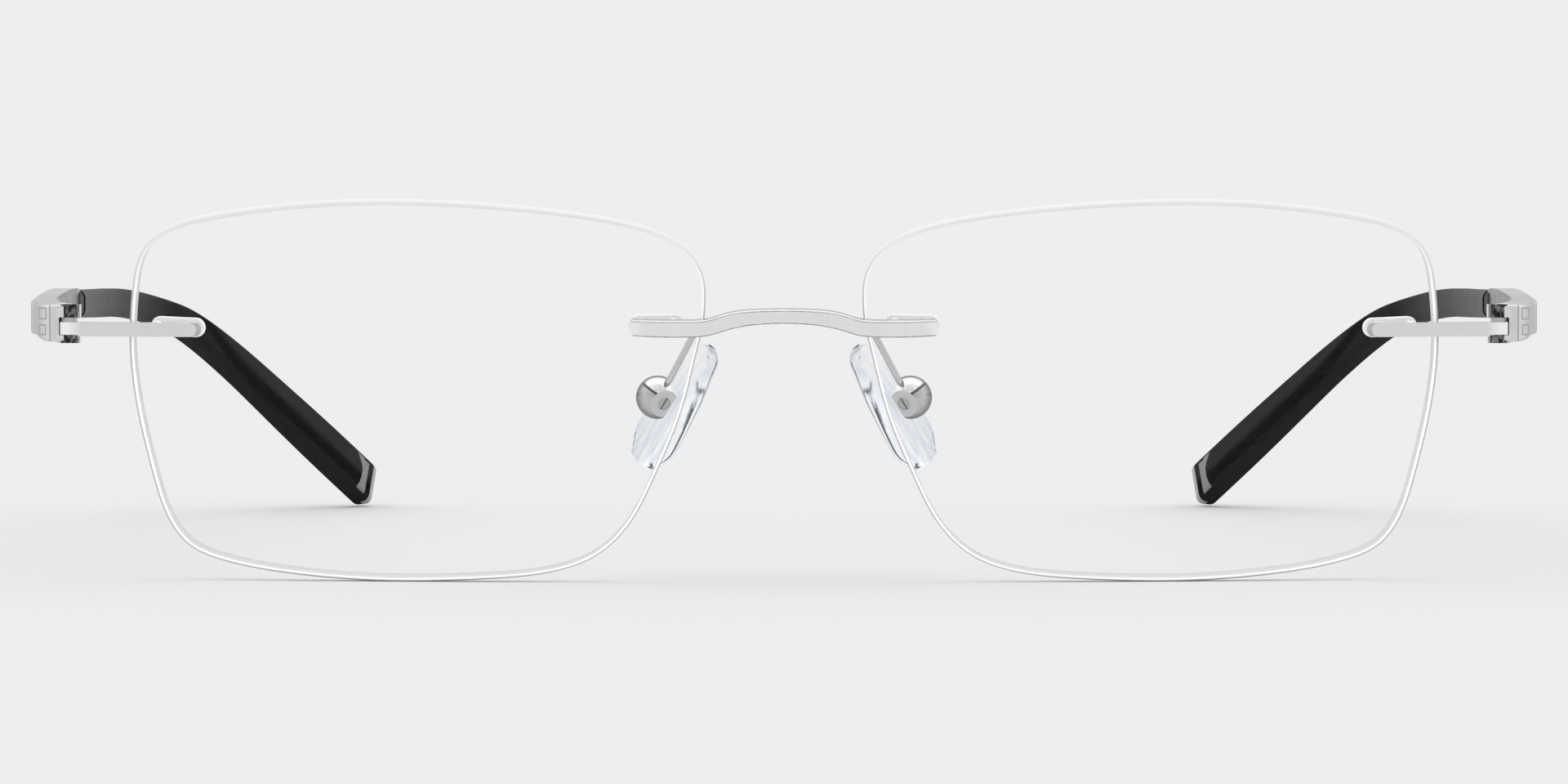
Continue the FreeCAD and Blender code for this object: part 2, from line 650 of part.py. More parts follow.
def arm_section(name, depth, thick, tall, rise):
    """A rounded section across the temple line."""
    offset, angle = temple_line(depth)
    made = doc.addObject("Sketcher::SketchObject", name)
    made.addGeometry(rounded_box_section(thick, tall, ARM_CORNER, (0.0, rise)), False)
    turned = arm_frame().multiply(Placement(Vector(depth, offset, 0), Rotation(Vector(0, 0, 1), angle)))
    upright = BEND_PLANE.Rotation.inverted().multiply(Rotation(Vector(1, 0, 0), 90))
    made.Placement = turned.multiply(Placement(Vector(), upright))
    return made


def make_arm(core):
    loft = doc.addObject("Part::Loft", "arm_loft")
    loft.Sections = [arm_section("arm_section_%d" % n, *row) for n, row in enumerate(ARM_SECTIONS)]
    loft.Solid = True
    doc.recompute()
    tip = [n for n, edge in enumerate(loft.Shape.Edges, start=1) if is_tip_edge(edge)]
    rounded = fillet("arm_rounded", loft, tip, TIP_ROUND)
    return cut("temple_arm_left", rounded, core)


def is_tip_edge(edge):
    """Edges of the arm's end face, found by their place behind all other edges."""
    last = ARM_SECTIONS[-1][0] - 4.0 - size("half_depth")
    return edge.BoundBox.YMin > last


# ---------------------------------------------------------------- nose pads
def pad_cut(name, low, high):
    """A box in the pad frame, between two corners."""
    edges = tuple(b - a for a, b in zip(low, high))
    return box(name, low, edges, PAD)


def across_screw(name, start, radius, height):
    """A cylinder on the pad screw's axis, from a place along it towards the head."""
    turn = Rotation(Vector(1, 0, 0), -90)
    made = doc.addObject("Part::Cylinder", name)
    if isinstance(radius, str):
        made.setExpression("Radius", radius)
    else:
        made.Radius = radius
    made.Height = height
    made.Placement = PAD.multiply(Placement(Vector(0, start, 0), turn))
    return made


LUG_HALF = 0.55         # half the thickness of the lug
LUG_RADIUS = 0.85
LUG_PLAY = 0.1
BOX_SLOT_HALF = 1.05    # half the length of the box's slot, and the radius of its round floor
SCREW_HEAD_SEAT = 1.2   # seat of the pad screw's head from the lug's middle
SCREW_HEAD_RADIUS = 0.6
SCREW_HEAD_TALL = 0.35
SCREW_FOOT = 1.4
CROWN_STAND = 1.58      # flat face round the screw's head, from the lug's middle
# Flat sides of the pad box towards the nose: outward direction and distance from its middle.
BOX_FLATS = [
    ("pad_box_flat", (-0.86, 0, -0.5), "box_flat"),
    ("pad_box_upper_flat", (-0.8, 0, 0.6), "box_upper_flat"),
]


def make_pad_box():
    """A rounded cup with a slot for the pad's lug and a bore for its screw."""
    ball = add("Part::Sphere", "pad_box_ball", PAD, Radius="sizes.box_radius")
    half = LUG_HALF + LUG_PLAY
    beyond = pad_cut("pad_box_face", (-ROOM, -ROOM, size("box_face")), (ROOM, ROOM, ROOM))
    slot = pad_cut("pad_box_slot", (-BOX_SLOT_HALF, -half, 0), (BOX_SLOT_HALF, half, ROOM))
    pocket_round = across_screw("pad_box_pocket", -half, BOX_SLOT_HALF, 2 * half)
    bore = across_screw("pad_box_bore", -SCREW_FOOT - 0.05, "sizes.pad_screw_radius", ROOM)
    seat = across_screw("pad_box_seat", SCREW_HEAD_SEAT, SCREW_HEAD_RADIUS + 0.02, ROOM)
    crown = across_screw("pad_box_crown", CROWN_STAND, ROOM, ROOM)
    sides = []
    for name, outward, distance in BOX_FLATS:
        frame = box_flat_frame(Vector(*outward).normalize(), size(distance))
        sides.append(box(name, (0, -ROOM, -ROOM), (ROOM, 2 * ROOM, 2 * ROOM), frame))
    room = fuse("pad_box_room", beyond, crown, slot, pocket_round, bore, seat, *sides)
    return cut("pad_box_left", ball, room)


def box_flat_frame(outward, distance):
    """A flat side of the pad box: local x points out of it."""
    return Placement(PAD.Base + outward * distance, Rotation(outward, Vector(0, 1, 0), Vector(), "XYZ"))


def make_pad_screw():
    length = SCREW_FOOT + SCREW_HEAD_SEAT
    shank = across_screw("pad_screw_shank", -SCREW_FOOT, "sizes.pad_screw_radius", length)
    head = across_screw("pad_screw_head", SCREW_HEAD_SEAT, SCREW_HEAD_RADIUS, SCREW_HEAD_TALL)
    floor = SCREW_HEAD_SEAT + SCREW_HEAD_TALL / 2
    slot = pad_cut("pad_screw_slot", (-1.0, floor, -0.09), (1.0, 2.0, 0.09))
    return cut("pad_screw_left", fuse("pad_screw_solid", shank, head), slot)


# Blocks of the pad's hard core in the pad frame, each from its lowest to its highest corner.
INSERT_NECK = ((-0.5, -0.42, 0.2), (0.5, 0.42, 2.4))
INSERT_PLATE = ((-2.6, -1.5, 2.25), (2.6, 0.8, 2.75))


def make_pad_insert():
    """The hard core of the pad: lug, neck and the plate moulded into the pad."""
    lug = across_screw("insert_lug", -LUG_HALF, LUG_RADIUS, 2 * LUG_HALF)
    neck = pad_cut("insert_neck", *INSERT_NECK)
    plate = pad_cut("insert_plate", *INSERT_PLATE)
    bore = across_screw("insert_bore", -1.0, "sizes.lug_bore", 2.0)
    return cut("pad_insert_left", fuse("insert_solid", lug, neck, plate), bore)


PAD_SIDE = -0.4         # middle of the nose pad beside its screw
# Sections of the teardrop pad: place along its length, width and thickness, as shares of the pad's own.
PAD_SECTIONS = [
    (-0.50, 0.10, 0.14), (-0.465, 0.33, 0.50), (-0.38, 0.52, 0.76), (-0.22, 0.70, 0.93), (0.0, 0.87, 1.0),
    (0.20, 0.98, 1.0), (0.345, 0.92, 0.93), (0.445, 0.65, 0.74), (0.49, 0.33, 0.45), (0.50, 0.14, 0.22),
]


def make_nose_pad(insert):
    middle = Placement(Vector(0, PAD_SIDE, size("pad_stand")), NO_TURN)
    owner = body("nose_pad_body", PAD.multiply(middle))
    profiles = []
    for number, (along, wide, thick) in enumerate(PAD_SECTIONS):
        major = wide * size("pad_width") / 2
        minor = thick * size("pad_thick") / 2
        oval = Part.Ellipse(Vector(major, 0, 0), Vector(0, minor, 0), Vector())
        offset = Placement(Vector(0, 0, along * size("pad_length")), NO_TURN)
        profiles.append(sketch(owner, "nose_pad_section_%d" % number, "YZ_Plane", [oval], offset))
    loft = owner.newObject("PartDesign::AdditiveLoft", "nose_pad_loft")
    loft.Profile = profiles[0]
    loft.Sections = profiles[1:]
    return cut("nose_pad_left", owner, insert)


# Route of the pad arm wire: behind the bridge, back past the lens edge, down to the pad box.
PAD_ARM_ROUTE = [
    (6.2, 0.7, 0.55), (6.3, 5.0, 0.75), (8.4, 5.6, -0.05), (10.8, 6.15, -4.6), (11.8, 7.5, -6.1),
]
PAD_ARM_BENDS = [0.9, 0.9, 1.1]


def rounded_route(points, radii):
    """A wire of straight runs joined by tangent arcs of the given radii."""
    edges = []
    start = points[0]
    for before, corner, after, radius in zip(points, points[1:], points[2:], radii):
        back = (before - corner).normalize()
        ahead = (after - corner).normalize()
        half = back.getAngle(ahead) / 2
        reach = radius / math.tan(half)
        enter = corner + back * reach
        leave = corner + ahead * reach
        towards = (back + ahead).normalize()
        middle = corner + towards * (radius / math.sin(half) - radius)
        edges.append(Part.LineSegment(start, enter).toShape())
        edges.append(Part.Arc(enter, middle, leave).toShape())
        start = leave
    edges.append(Part.LineSegment(start, points[-1]).toShape())
    return Part.Wire(edges)


def make_pad_arm(bridge):
    """The wire that carries the pad box, brazed to the back of the bridge."""
    level = Vector(0, -size("half_depth"), size("bar_height"))
    points = [Vector(*spot) + level for spot in PAD_ARM_ROUTE]
    route = doc.addObject("Part::Feature", "pad_arm_route")
    route.Shape = rounded_route(points, PAD_ARM_BENDS)
    section = add("Part::Circle", "pad_arm_section", Radius="sizes.wire_radius")
    section.Placement = Placement(points[0], Rotation(Vector(0, 0, 1), points[1] - points[0]))
    sweep = doc.addObject("Part::Sweep", "pad_arm_wire")
    sweep.Sections = [section]
    sweep.Spine = route
    sweep.Solid = True
    return cut("pad_arm_left", sweep, fuse("pad_arm_ends", bridge, *box_outline()))


def box_outline():
    """The pad box's ball without its openings, which the wire meets face to face."""
    return [add("Part::Sphere", "pad_box_outer", PAD, Radius="sizes.box_radius"),
            pad_cut("pad_box_beyond", (-1, -1, 0), (1, 1, 1))]


# ---------------------------------------------------------------- build and write
def build():
    core = make_core()
    front = make_temple_front()
    insert = make_pad_insert()
    bridge = make_bridge()
    left_pieces = {
        "lens": make_lens(),
        "nasal_plug": make_plug("nasal_plug_left", NASAL_SEAT),
        "temporal_plug": make_plug("temporal_plug_left", TEMPORAL_SEAT),
        "endpiece": make_endpiece(),
        "hinge_washer": make_washer(),
        "hinge_screw": make_hinge_screw(),
        "temple_front": cut("temple_front_left", front, core),
        "temple_core": core,
        "temple_arm": make_arm(core),
        "pad_box": make_pad_box(),
        "pad_screw": make_pad_screw(),
        "pad_insert": insert,
        "nose_pad": make_nose_pad(insert),
        "pad_arm": make_pad_arm(bridge),
    }
    pieces = {"bridge": bridge}
    for name, left in left_pieces.items():
        pieces[name + "_left"] = left
        pieces[name + "_right"] = mirrored(left, name + "_right")
    for name, piece in pieces.items():
        piece.Label = name
    return pieces


def check(pieces):
    """Stop if any object failed or any piece isn't a sound solid."""
    doc.recompute()
    for obj in doc.Objects:
        if {"Invalid", "Error"} & set(obj.State):
            raise RuntimeError("%s failed: %s" % (obj.Name, obj.State))
    for name, piece in pieces.items():
        shape = piece.Shape
        if shape.isNull() or not shape.isValid() or not shape.Solids:
            raise RuntimeError("%s has no valid solid" % name)


def write(pieces):
    os.makedirs("parts", exist_ok=True)
    for name, piece in pieces.items():
        piece.Shape.exportStep("parts/%s.step" % name)
        box_of = piece.Shape.BoundBox
        print("%-20s solids %d volume %8.3f  x %7.2f %7.2f  y %7.2f %7.2f  z %6.2f %6.2f" % (
            name, len(piece.Shape.Solids), piece.Shape.Volume, box_of.XMin, box_of.XMax,
            box_of.YMin, box_of.YMax, box_of.ZMin, box_of.ZMax))


pieces = build()
check(pieces)
write(pieces)
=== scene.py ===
"""Looks of the rimless eyeglasses on their CAD frame. Lengths in the making of a piece are in mm."""
import bpy
import json
import math
import numpy as np
from mathutils import Matrix, Vector


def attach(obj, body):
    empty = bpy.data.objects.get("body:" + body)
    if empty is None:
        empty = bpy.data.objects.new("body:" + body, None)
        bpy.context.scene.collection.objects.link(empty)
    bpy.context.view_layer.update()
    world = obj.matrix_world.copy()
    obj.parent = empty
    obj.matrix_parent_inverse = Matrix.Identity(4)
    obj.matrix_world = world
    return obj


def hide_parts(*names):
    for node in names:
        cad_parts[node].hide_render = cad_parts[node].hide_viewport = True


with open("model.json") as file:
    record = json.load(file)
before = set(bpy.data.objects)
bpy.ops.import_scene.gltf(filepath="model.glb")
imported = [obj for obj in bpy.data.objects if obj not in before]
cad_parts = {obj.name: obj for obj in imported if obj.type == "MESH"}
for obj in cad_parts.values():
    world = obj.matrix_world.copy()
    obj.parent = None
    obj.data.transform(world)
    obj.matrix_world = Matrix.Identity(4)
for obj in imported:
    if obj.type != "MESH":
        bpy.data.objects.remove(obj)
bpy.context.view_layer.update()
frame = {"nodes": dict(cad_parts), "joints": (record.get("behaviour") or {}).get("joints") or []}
MM = 0.001
SIDES = {"left": 1, "right": -1}


def unit(vector):
    """The vector, made one long."""
    return np.array(vector) / np.linalg.norm(vector)


joints = {j["name"]: j for j in frame["joints"]}
HINGE = np.array(joints["temple_left_fold"]["pos_m"]) / MM
BAR_HEIGHT = HINGE[2]
HINGE_BEHIND = 6.5          # the hinge axis is this far behind the front of the lenses
FRONT_Y = HINGE[1] - HINGE_BEHIND
LEAN = math.radians(8.0)    # lean of the lenses, tops forward
# Directions of the left nose pad: down its length, square to it towards the nose, and across.
PAD_DOWN = unit([0.52, 0.12, -0.846])
PAD_NOSE = np.array([-0.90, 0.43, 0.0])
PAD_NOSE = unit(PAD_NOSE - PAD_DOWN * (PAD_NOSE @ PAD_DOWN))
PAD_ACROSS = np.cross(PAD_NOSE, PAD_DOWN)
PAD_SCREW = np.array(joints["pad_left_rock"]["pos_m"]) / MM
CREASE_SHADE = (-0.64, -0.43)     # where the pad box's crease is painted dark as shade, measured down the pad from its screw
PAD_DARKENS = (1.5, 5.0)   # the silicone's colour darkens between these, measured down the pad from its screw
EDGE_FADES = (1.0, 10.0)    # the painted highlight and shade of the lens's rim change between these heights over the bar
# Blank engraved panels on the outside of the temple front: middle and half size, across and up.
PANELS = [((70.9, BAR_HEIGHT + 1.5), (0.42, 0.52)), ((70.9, BAR_HEIGHT - 0.05), (0.36, 0.46)),
          ((73.0, BAR_HEIGHT + 0.6), (2.95, 2.4))]
PANELS_END, PANELS_FADE = FRONT_Y + 12.0, 0.5       # no frames are engraved behind this; they fade out before
GROOVE_EDGE = (0.03, 0.09)      # a groove is at its deepest and gone this far from its middle

# Temple arms: they run straight back, droop a little, bend and then slope down and inwards.
# Where they start, droop, bend and stop are depths behind the lenses.
DOWN = unit([-0.641, 0, -0.768])
DROOP_START, DROOP_RADIUS = 48.0, 300.0
BEND_START, BEND_RADIUS, BEND_ANGLE = 90.5, 49.0, math.radians(39.4)
ARM_START, ARM_STOP = 26.0, 135.72
ARM_BASE = np.array([71.05, FRONT_Y, BAR_HEIGHT + 1.98])
ARM_SIDEWAYS = Vector(np.cross([0, 1, 0], DOWN))


def temple_line(depth):
    """How far the temple line has fallen at a depth behind the lenses, and its slope there."""
    droop = math.asin((BEND_START - DROOP_START) / DROOP_RADIUS)
    bend_end = BEND_START + BEND_RADIUS * (math.sin(BEND_ANGLE) - math.sin(droop))
    fall = DROOP_RADIUS * (1 - math.cos(droop))
    if depth <= DROOP_START:
        return 0.0, 0.0
    if depth <= BEND_START:
        angle = math.asin((depth - DROOP_START) / DROOP_RADIUS)
        return DROOP_RADIUS * (1 - math.cos(angle)), angle
    if depth <= bend_end:
        angle = math.asin(math.sin(droop) + (depth - BEND_START) / BEND_RADIUS)
        return fall + BEND_RADIUS * (math.cos(droop) - math.cos(angle)), angle
    low = fall + BEND_RADIUS * (math.cos(droop) - math.cos(BEND_ANGLE))
    return low + (depth - bend_end) * math.tan(BEND_ANGLE), BEND_ANGLE


def temple_turn(angle):
    """The rotation that tilts the arm's section by the slope of the temple line."""
    return np.array(Matrix.Rotation(angle, 3, ARM_SIDEWAYS))


ARM_UP = temple_turn(BEND_ANGLE) @ [0, 0, 1]
ARM_END = ARM_BASE + np.array([0, ARM_STOP, 0]) + DOWN * temple_line(ARM_STOP)[0]
# Bottom and top of the dark stripe along the arm's rear, framed by painted sheen, over its centre line, and
# where it begins and is fully there; then where the front of the arm, painted lighter as a reflection,
# begins to darken and has done so.
ARM_SHADE_STRIPE, STRIPE_BEGINS = (-1.6, -0.6), (72.0, 92.0)
ARM_SHEEN_FADES = (28.0, 85.0)


# ---------------------------------------------------------------- node helpers
RANGE_ENDS = ("From Min", "From Max", "To Min", "To Max")


class Nodes:
    """A node tree with helpers for numbers."""

    def __init__(self, tree):
        self.tree = tree

    def node(self, kind, **values):
        made = self.tree.nodes.new(kind)
        for key, value in values.items():
            if key in made.inputs:
                made.inputs[key].default_value = value
            else:
                setattr(made, key, value)
        return made

    def link(self, source, target):
        self.tree.links.new(source, target)

    def ramp(self, value, low, high, out_low, out_high, **settings):
        made = self.node("ShaderNodeMapRange", **settings)
        for key, number in zip(RANGE_ENDS, (low, high, out_low, out_high)):
            made.inputs[key].default_value = number
        self.link(value, made.inputs["Value"])
        return made.outputs["Result"]

    def math(self, operation, first, second):
        made = self.node("ShaderNodeMath", operation=operation)
        for socket, value in zip(made.inputs, (first, second)):
            if isinstance(value, (int, float)):
                socket.default_value = value
            else:
                self.link(value, socket)
        return made.outputs[0]


class Shader(Nodes):
    """A Principled material with helpers for its procedural detail. Scales of noise are per metre."""

    def __init__(self, name, color, roughness, metallic=0.0, **sockets):
        self.material = bpy.data.materials.new(name)
        self.material.use_nodes = True
        super().__init__(self.material.node_tree)
        self.base = self.tree.nodes["Principled BSDF"]
        self.base.inputs["Base Color"].default_value = (*color, 1)
        self.base.inputs["Roughness"].default_value = roughness
        self.base.inputs["Metallic"].default_value = metallic
        for socket, value in sockets.items():
            self.base.inputs[socket.replace("_", " ")].default_value = value
        self.place = self.node("ShaderNodeTexCoord").outputs["Object"]

    def parts(self):
        """The three parts of the place on the object, x as its distance from the middle plane."""
        split = self.node("ShaderNodeSeparateXYZ")
        self.link(self.place, split.inputs[0])
        return self.math("ABSOLUTE", split.outputs[0], 0), split.outputs[1], split.outputs[2]

    def stretched(self, scale):
        """Object coordinates scaled per axis, for a grain that runs one way."""
        mapping = self.node("ShaderNodeMapping")
        mapping.inputs["Scale"].default_value = scale
        self.link(self.place, mapping.inputs["Vector"])
        return mapping.outputs["Vector"]

    def along(self, axis, start=(0, 0, 0)):
        """Distance from a start along an axis, both given for the left side; the right side mirrors it."""
        folded = self.node("ShaderNodeCombineXYZ")
        for socket, part in zip(folded.inputs, self.parts()):
            self.link(part, socket)
        share = self.node("ShaderNodeVectorMath", operation="DOT_PRODUCT")
        share.inputs[1].default_value = tuple(axis)
        self.link(folded.outputs[0], share.inputs[0])
        return self.math("SUBTRACT", share.outputs["Value"], float(np.dot(axis, start)) * MM)

    def along_pad(self, scale):
        """Coordinates down, across and out of a nose pad, scaled per axis."""
        turned = self.node("ShaderNodeCombineXYZ")
        for socket, axis, factor in zip(turned.inputs, (PAD_DOWN, PAD_ACROSS, PAD_NOSE), scale):
            self.link(self.along(axis * factor), socket)
        return turned.outputs[0]

    def noise(self, where, scale, detail=2.0, rough=0.5):
        made = self.node("ShaderNodeTexNoise")
        made.inputs["Scale"].default_value = scale
        made.inputs["Detail"].default_value = detail
        made.inputs["Roughness"].default_value = rough
        self.link(where, made.inputs["Vector"])
        return made.outputs["Fac"]

    def mix_colors(self, factor, first, second):
        made = self.node("ShaderNodeMix", data_type="RGBA")
        self.link(factor, made.inputs[0])
        for socket, color in ((made.inputs[6], first), (made.inputs[7], second)):
            if isinstance(color, tuple):
                socket.default_value = (*color, 1)
            else:
                self.link(color, socket)
        return made.outputs[2]

    def bump(self, height, distance, strength=1.0):
        made = self.node("ShaderNodeBump")
        made.inputs["Distance"].default_value = distance * MM
        made.inputs["Strength"].default_value = strength
        self.link(height, made.inputs["Height"])
        self.link(made.outputs["Normal"], self.base.inputs["Normal"])

    def turned(self, low, high):
        """Nought where the surface faces the viewer, one where it turns away."""
        weight = self.node("ShaderNodeLayerWeight", Blend=0.5)
        return self.ramp(weight.outputs["Facing"], low, high, 0.0, 1.0)

    def panel_grooves(self):
        """One in the fine engraved frames of the blank panels on the temple's front, else nought."""
        across, back, height = self.parts()
        found = None
        for middle, half in PANELS:
            sides = []
            for value, centre, reach in zip((across, height), middle, half):
                offset = self.math("ABSOLUTE", self.math("SUBTRACT", value, centre * MM), 0)
                sides.append(self.math("SUBTRACT", offset, reach * MM))
            edge = self.math("ABSOLUTE", self.math("MAXIMUM", *sides), 0)
            line = self.ramp(edge, GROOVE_EDGE[0] * MM, GROOVE_EDGE[1] * MM, 1.0, 0.0)
            found = line if found is None else self.math("MAXIMUM", found, line)
        ahead = self.ramp(back, (PANELS_END - PANELS_FADE) * MM, PANELS_END * MM, 1.0, 0.0)
        return self.math("MULTIPLY", found, ahead)

    def edges(self, low=0.50, high=0.56):
        """Nought on flats, one on worn convex edges."""
        worn = self.node("ShaderNodeNewGeometry").outputs["Pointiness"]
        return self.ramp(worn, low, high, 0.0, 1.0)


def metal(name, color, roughness, grain, depth, dark=0.5, turn=(0.35, 0.8), shade_blotches=0.0, panels=False,
          hollow=False, pale=None):
    """Plated metal with a fine directional grain, soft smudges and worn edges.

    It is painted darker where it turns away, as shade, or where it faces the viewer if hollow, which is
    painted shade and no real hollow, in blotches if asked; pale gives the distances from the middle plane
    between which a painted highlight turns it white.
    """
    made = Shader(name, color, roughness, 1.0)
    brush = made.noise(made.stretched(grain), 1.0, 3.0, 0.6)
    smudge = made.noise(made.place, 180.0, 3.0)
    worn = made.edges()
    spread = made.ramp(brush, 0.3, 0.7, roughness * 0.75, roughness * 1.3)
    soft = made.math("MULTIPLY", spread, made.ramp(smudge, 0.3, 0.7, 0.85, 1.2))
    rubbed = made.math("MULTIPLY", soft, made.ramp(worn, 0.0, 1.0, 1.0, 0.7))
    made.link(rubbed, made.base.inputs["Roughness"])
    light = tuple(min(1.0, channel * 1.12) for channel in color)
    # Painted shade: the colour it darkens to where it turns away, or where it faces the viewer if hollow, in
    # blotches if asked.
    deep = tuple(channel * (1 - dark) for channel in color)
    shade = made.turned(*turn)
    if hollow:
        shade = made.math("SUBTRACT", 1.0, shade)
    if shade_blotches:
        blotch = made.noise(made.stretched((2600.0, 2600.0, 1400.0)), 1.0, 2.0, 0.6)
        shade = made.math("MULTIPLY", shade, made.ramp(blotch, 0.36, 0.56, 1.0 - shade_blotches, 1.0))
    tone = made.mix_colors(worn, color, light)
    # A painted highlight turns it white between the given distances from the middle plane.
    if pale:
        outer = made.ramp(made.parts()[0], pale[0] * MM, pale[1] * MM, 0.0, 1.0)
        tone = made.mix_colors(outer, tone, (1.0, 1.0, 1.0))
    tone = made.mix_colors(shade, tone, deep)
    height = brush
    if panels:
        groove = made.panel_grooves()
        shadow = tuple(channel * 0.3 for channel in color)
        tone = made.mix_colors(made.math("MULTIPLY", groove, 0.7), tone, shadow)
        height = made.math("SUBTRACT", made.math("MULTIPLY", brush, 0.25), groove)
    made.link(tone, made.base.inputs["Base Color"])
    made.bump(height, depth, 0.5)
    return made.material


def pad_box_metal():
    """A polished crown over a satin body, the crease between painted dark as shade, both darker where turned.
    """
    made = Shader("box_metal", (0.88, 0.88, 0.89), 0.08, 1.0)
    low = made.along(PAD_DOWN, PAD_SCREW)
    grain = made.noise(made.place, 900.0, 3.0, 0.6)
    body = made.ramp(low, (CREASE_SHADE[1] - 0.04) * MM, (CREASE_SHADE[1] + 0.04) * MM, 0.0, 1.0)
    starts = made.ramp(low, (CREASE_SHADE[0] - 0.10) * MM, (CREASE_SHADE[0] + 0.04) * MM, 0.0, 1.0)
    # Painted shade: crown and satin body darken where they turn away, and the crease is painted dark.
    crown = made.mix_colors(made.turned(0.45, 0.72), (0.88, 0.88, 0.89), (0.05, 0.05, 0.05))
    satin = made.mix_colors(made.turned(0.25, 0.72), (0.56, 0.56, 0.57), (0.14, 0.14, 0.14))
    crease_shaded = made.mix_colors(starts, crown, (0.10, 0.10, 0.10))
    made.link(made.mix_colors(body, crease_shaded, satin), made.base.inputs["Base Color"])
    made.link(made.math("ADD", made.ramp(body, 0.0, 1.0, 0.05, 0.23), made.ramp(grain, 0.3, 0.7, 0.0, 0.05)),
              made.base.inputs["Roughness"])
    made.bump(grain, 0.001, 0.5)
    return made.material


def clear(name, color, roughness, ior, clarity=1.0, rim=None, painted_glow=0.0):
    """Clear moulded plastic with faint flow marks; the rim is a painted highlight in its colour where it
    turns away.
    """
    made = Shader(name, color, roughness, 0.0, Transmission_Weight=clarity, IOR=ior, Emission_Strength=painted_glow)
    # Its emission is painted light: the plastic shines though it is no lamp.
    made.base.inputs["Emission Color"].default_value = (1, 1, 1, 1)
    flow = made.noise(made.place, 900.0, 2.0)
    made.link(made.ramp(flow, 0.3, 0.7, roughness * 0.5, roughness * 1.6), made.base.inputs["Roughness"])
    if rim:
        # Painted highlight in the rim colour where it turns away, and a painted dark outline at the very
        # edge.
        pale = made.mix_colors(made.turned(0.3, 0.75), color, rim)
        shade_outlined = made.mix_colors(made.turned(0.86, 0.97), pale, (0.25, 0.25, 0.26))
        made.link(shade_outlined, made.base.inputs["Base Color"])
    made.bump(flow, 0.01, 0.5)
    return made.material


def silicone():
    """Clear bluish silicone, darker lower down, with long fine ripples down the pad painted white as
    highlights.
    """
    made = Shader("pad_silicone", (0.95, 0.97, 1.0), 0.1, 0.0, Transmission_Weight=1.0, IOR=1.41)
    lines = made.noise(made.along_pad((130.0, 1500.0, 1500.0)), 1.0, 3.0, 0.55)
    # The white streaks along the ripples are painted highlights.
    streak_highlight = made.ramp(lines, 0.40, 0.60, 0.0, 1.0)
    low = made.ramp(made.along(PAD_DOWN, PAD_SCREW), PAD_DARKENS[0] * MM, PAD_DARKENS[1] * MM, 0.0, 1.0)
    tint = made.mix_colors(low, (0.84, 0.88, 0.94), (0.62, 0.69, 0.79))
    made.link(made.mix_colors(streak_highlight, tint, (1.0, 1.0, 1.0)), made.base.inputs["Base Color"])
    made.link(made.ramp(lines, 0.3, 0.7, 0.07, 0.13), made.base.inputs["Roughness"])
    made.bump(lines, 0.02, 0.5)
    return made.material


def black_acetate(name, front, rear, roughness, level):
    """Satin black with a fine light speckle; a painted sheen lights its front and frames a dark stripe at its
    rear.
    """
    made = Shader(name, (rear, rear, rear), roughness, 0.0, IOR=1.5, Specular_IOR_Level=level)
    back = made.parts()[1]
    fine = made.noise(made.place, 4200.0, 2.0, 0.6)
    broad = made.noise(made.place, 260.0, 3.0)
    speck = made.ramp(fine, 0.56, 0.74, 0.0, 0.022)
    # Painted reflection: lighter at the front, darkening towards the rear, where a painted sheen frames the
    # dark stripe.
    along = made.ramp(back, *((FRONT_Y + depth) * MM for depth in ARM_SHEEN_FADES), front, rear)
    high = made.along(ARM_UP, ARM_END)
    upper = made.ramp(high, ARM_SHADE_STRIPE[1] * MM, (ARM_SHADE_STRIPE[1] + 1.0) * MM, 0.0, 0.026)
    lower = made.ramp(high, (ARM_SHADE_STRIPE[0] - 0.5) * MM, ARM_SHADE_STRIPE[0] * MM, 0.010, 0.0)
    behind = made.ramp(back, *((FRONT_Y + depth) * MM for depth in STRIPE_BEGINS), 0.0, 1.0)
    along = made.math("ADD", along, made.math("MULTIPLY", behind, made.math("ADD", upper, lower)))
    tone = made.math("ADD", made.math("MULTIPLY", along, made.ramp(broad, 0.3, 0.7, 0.93, 1.07)), speck)
    mixed = made.node("ShaderNodeCombineXYZ")
    for socket in mixed.inputs:
        made.link(tone, socket)
    made.link(mixed.outputs[0], made.base.inputs["Base Color"])
    made.link(made.ramp(broad, 0.3, 0.7, roughness * 0.97, roughness * 1.03), made.base.inputs["Roughness"])
    made.bump(fine, 0.010, 0.45)
    return made.material


def lens_face():
    """Clear resin so thin to the eye that only a trace of it is left."""
    made = Shader("lens_face", (1.0, 1.0, 1.0), 0.03, 0.0, IOR=1.5, Alpha=0.003)
    haze = made.noise(made.place, 60.0, 2.0)
    made.link(made.ramp(haze, 0.3, 0.7, 0.02, 0.05), made.base.inputs["Roughness"])
    return made.material


def lens_edge(name, low, top, roughness, painted_glow=0.0):
    """Part of the cut and polished rim of a lens, grey as given low down and along the lens's top: painted
    tones.
    """
    made = Shader(name, (low, low, low), roughness, 0.0, IOR=1.5, Emission_Strength=painted_glow)
    # Its emission is painted light.
    made.base.inputs["Emission Color"].default_value = (1, 1, 1, 1)
    # Painted highlight and shade: the tone changes with height over the bar.
    height = made.ramp(made.parts()[2], *((BAR_HEIGHT + rise) * MM for rise in EDGE_FADES), 0.0, 1.0)
    made.link(made.mix_colors(height, (low, low, low), (top, top, top)), made.base.inputs["Base Color"])
    wheel = made.noise(made.stretched((300.0, 5200.0, 300.0)), 1.0, 2.0)
    made.link(made.ramp(wheel, 0.3, 0.7, roughness * 0.7, roughness * 1.3), made.base.inputs["Roughness"])
    made.bump(wheel, 0.006, 0.4)
    return made.material


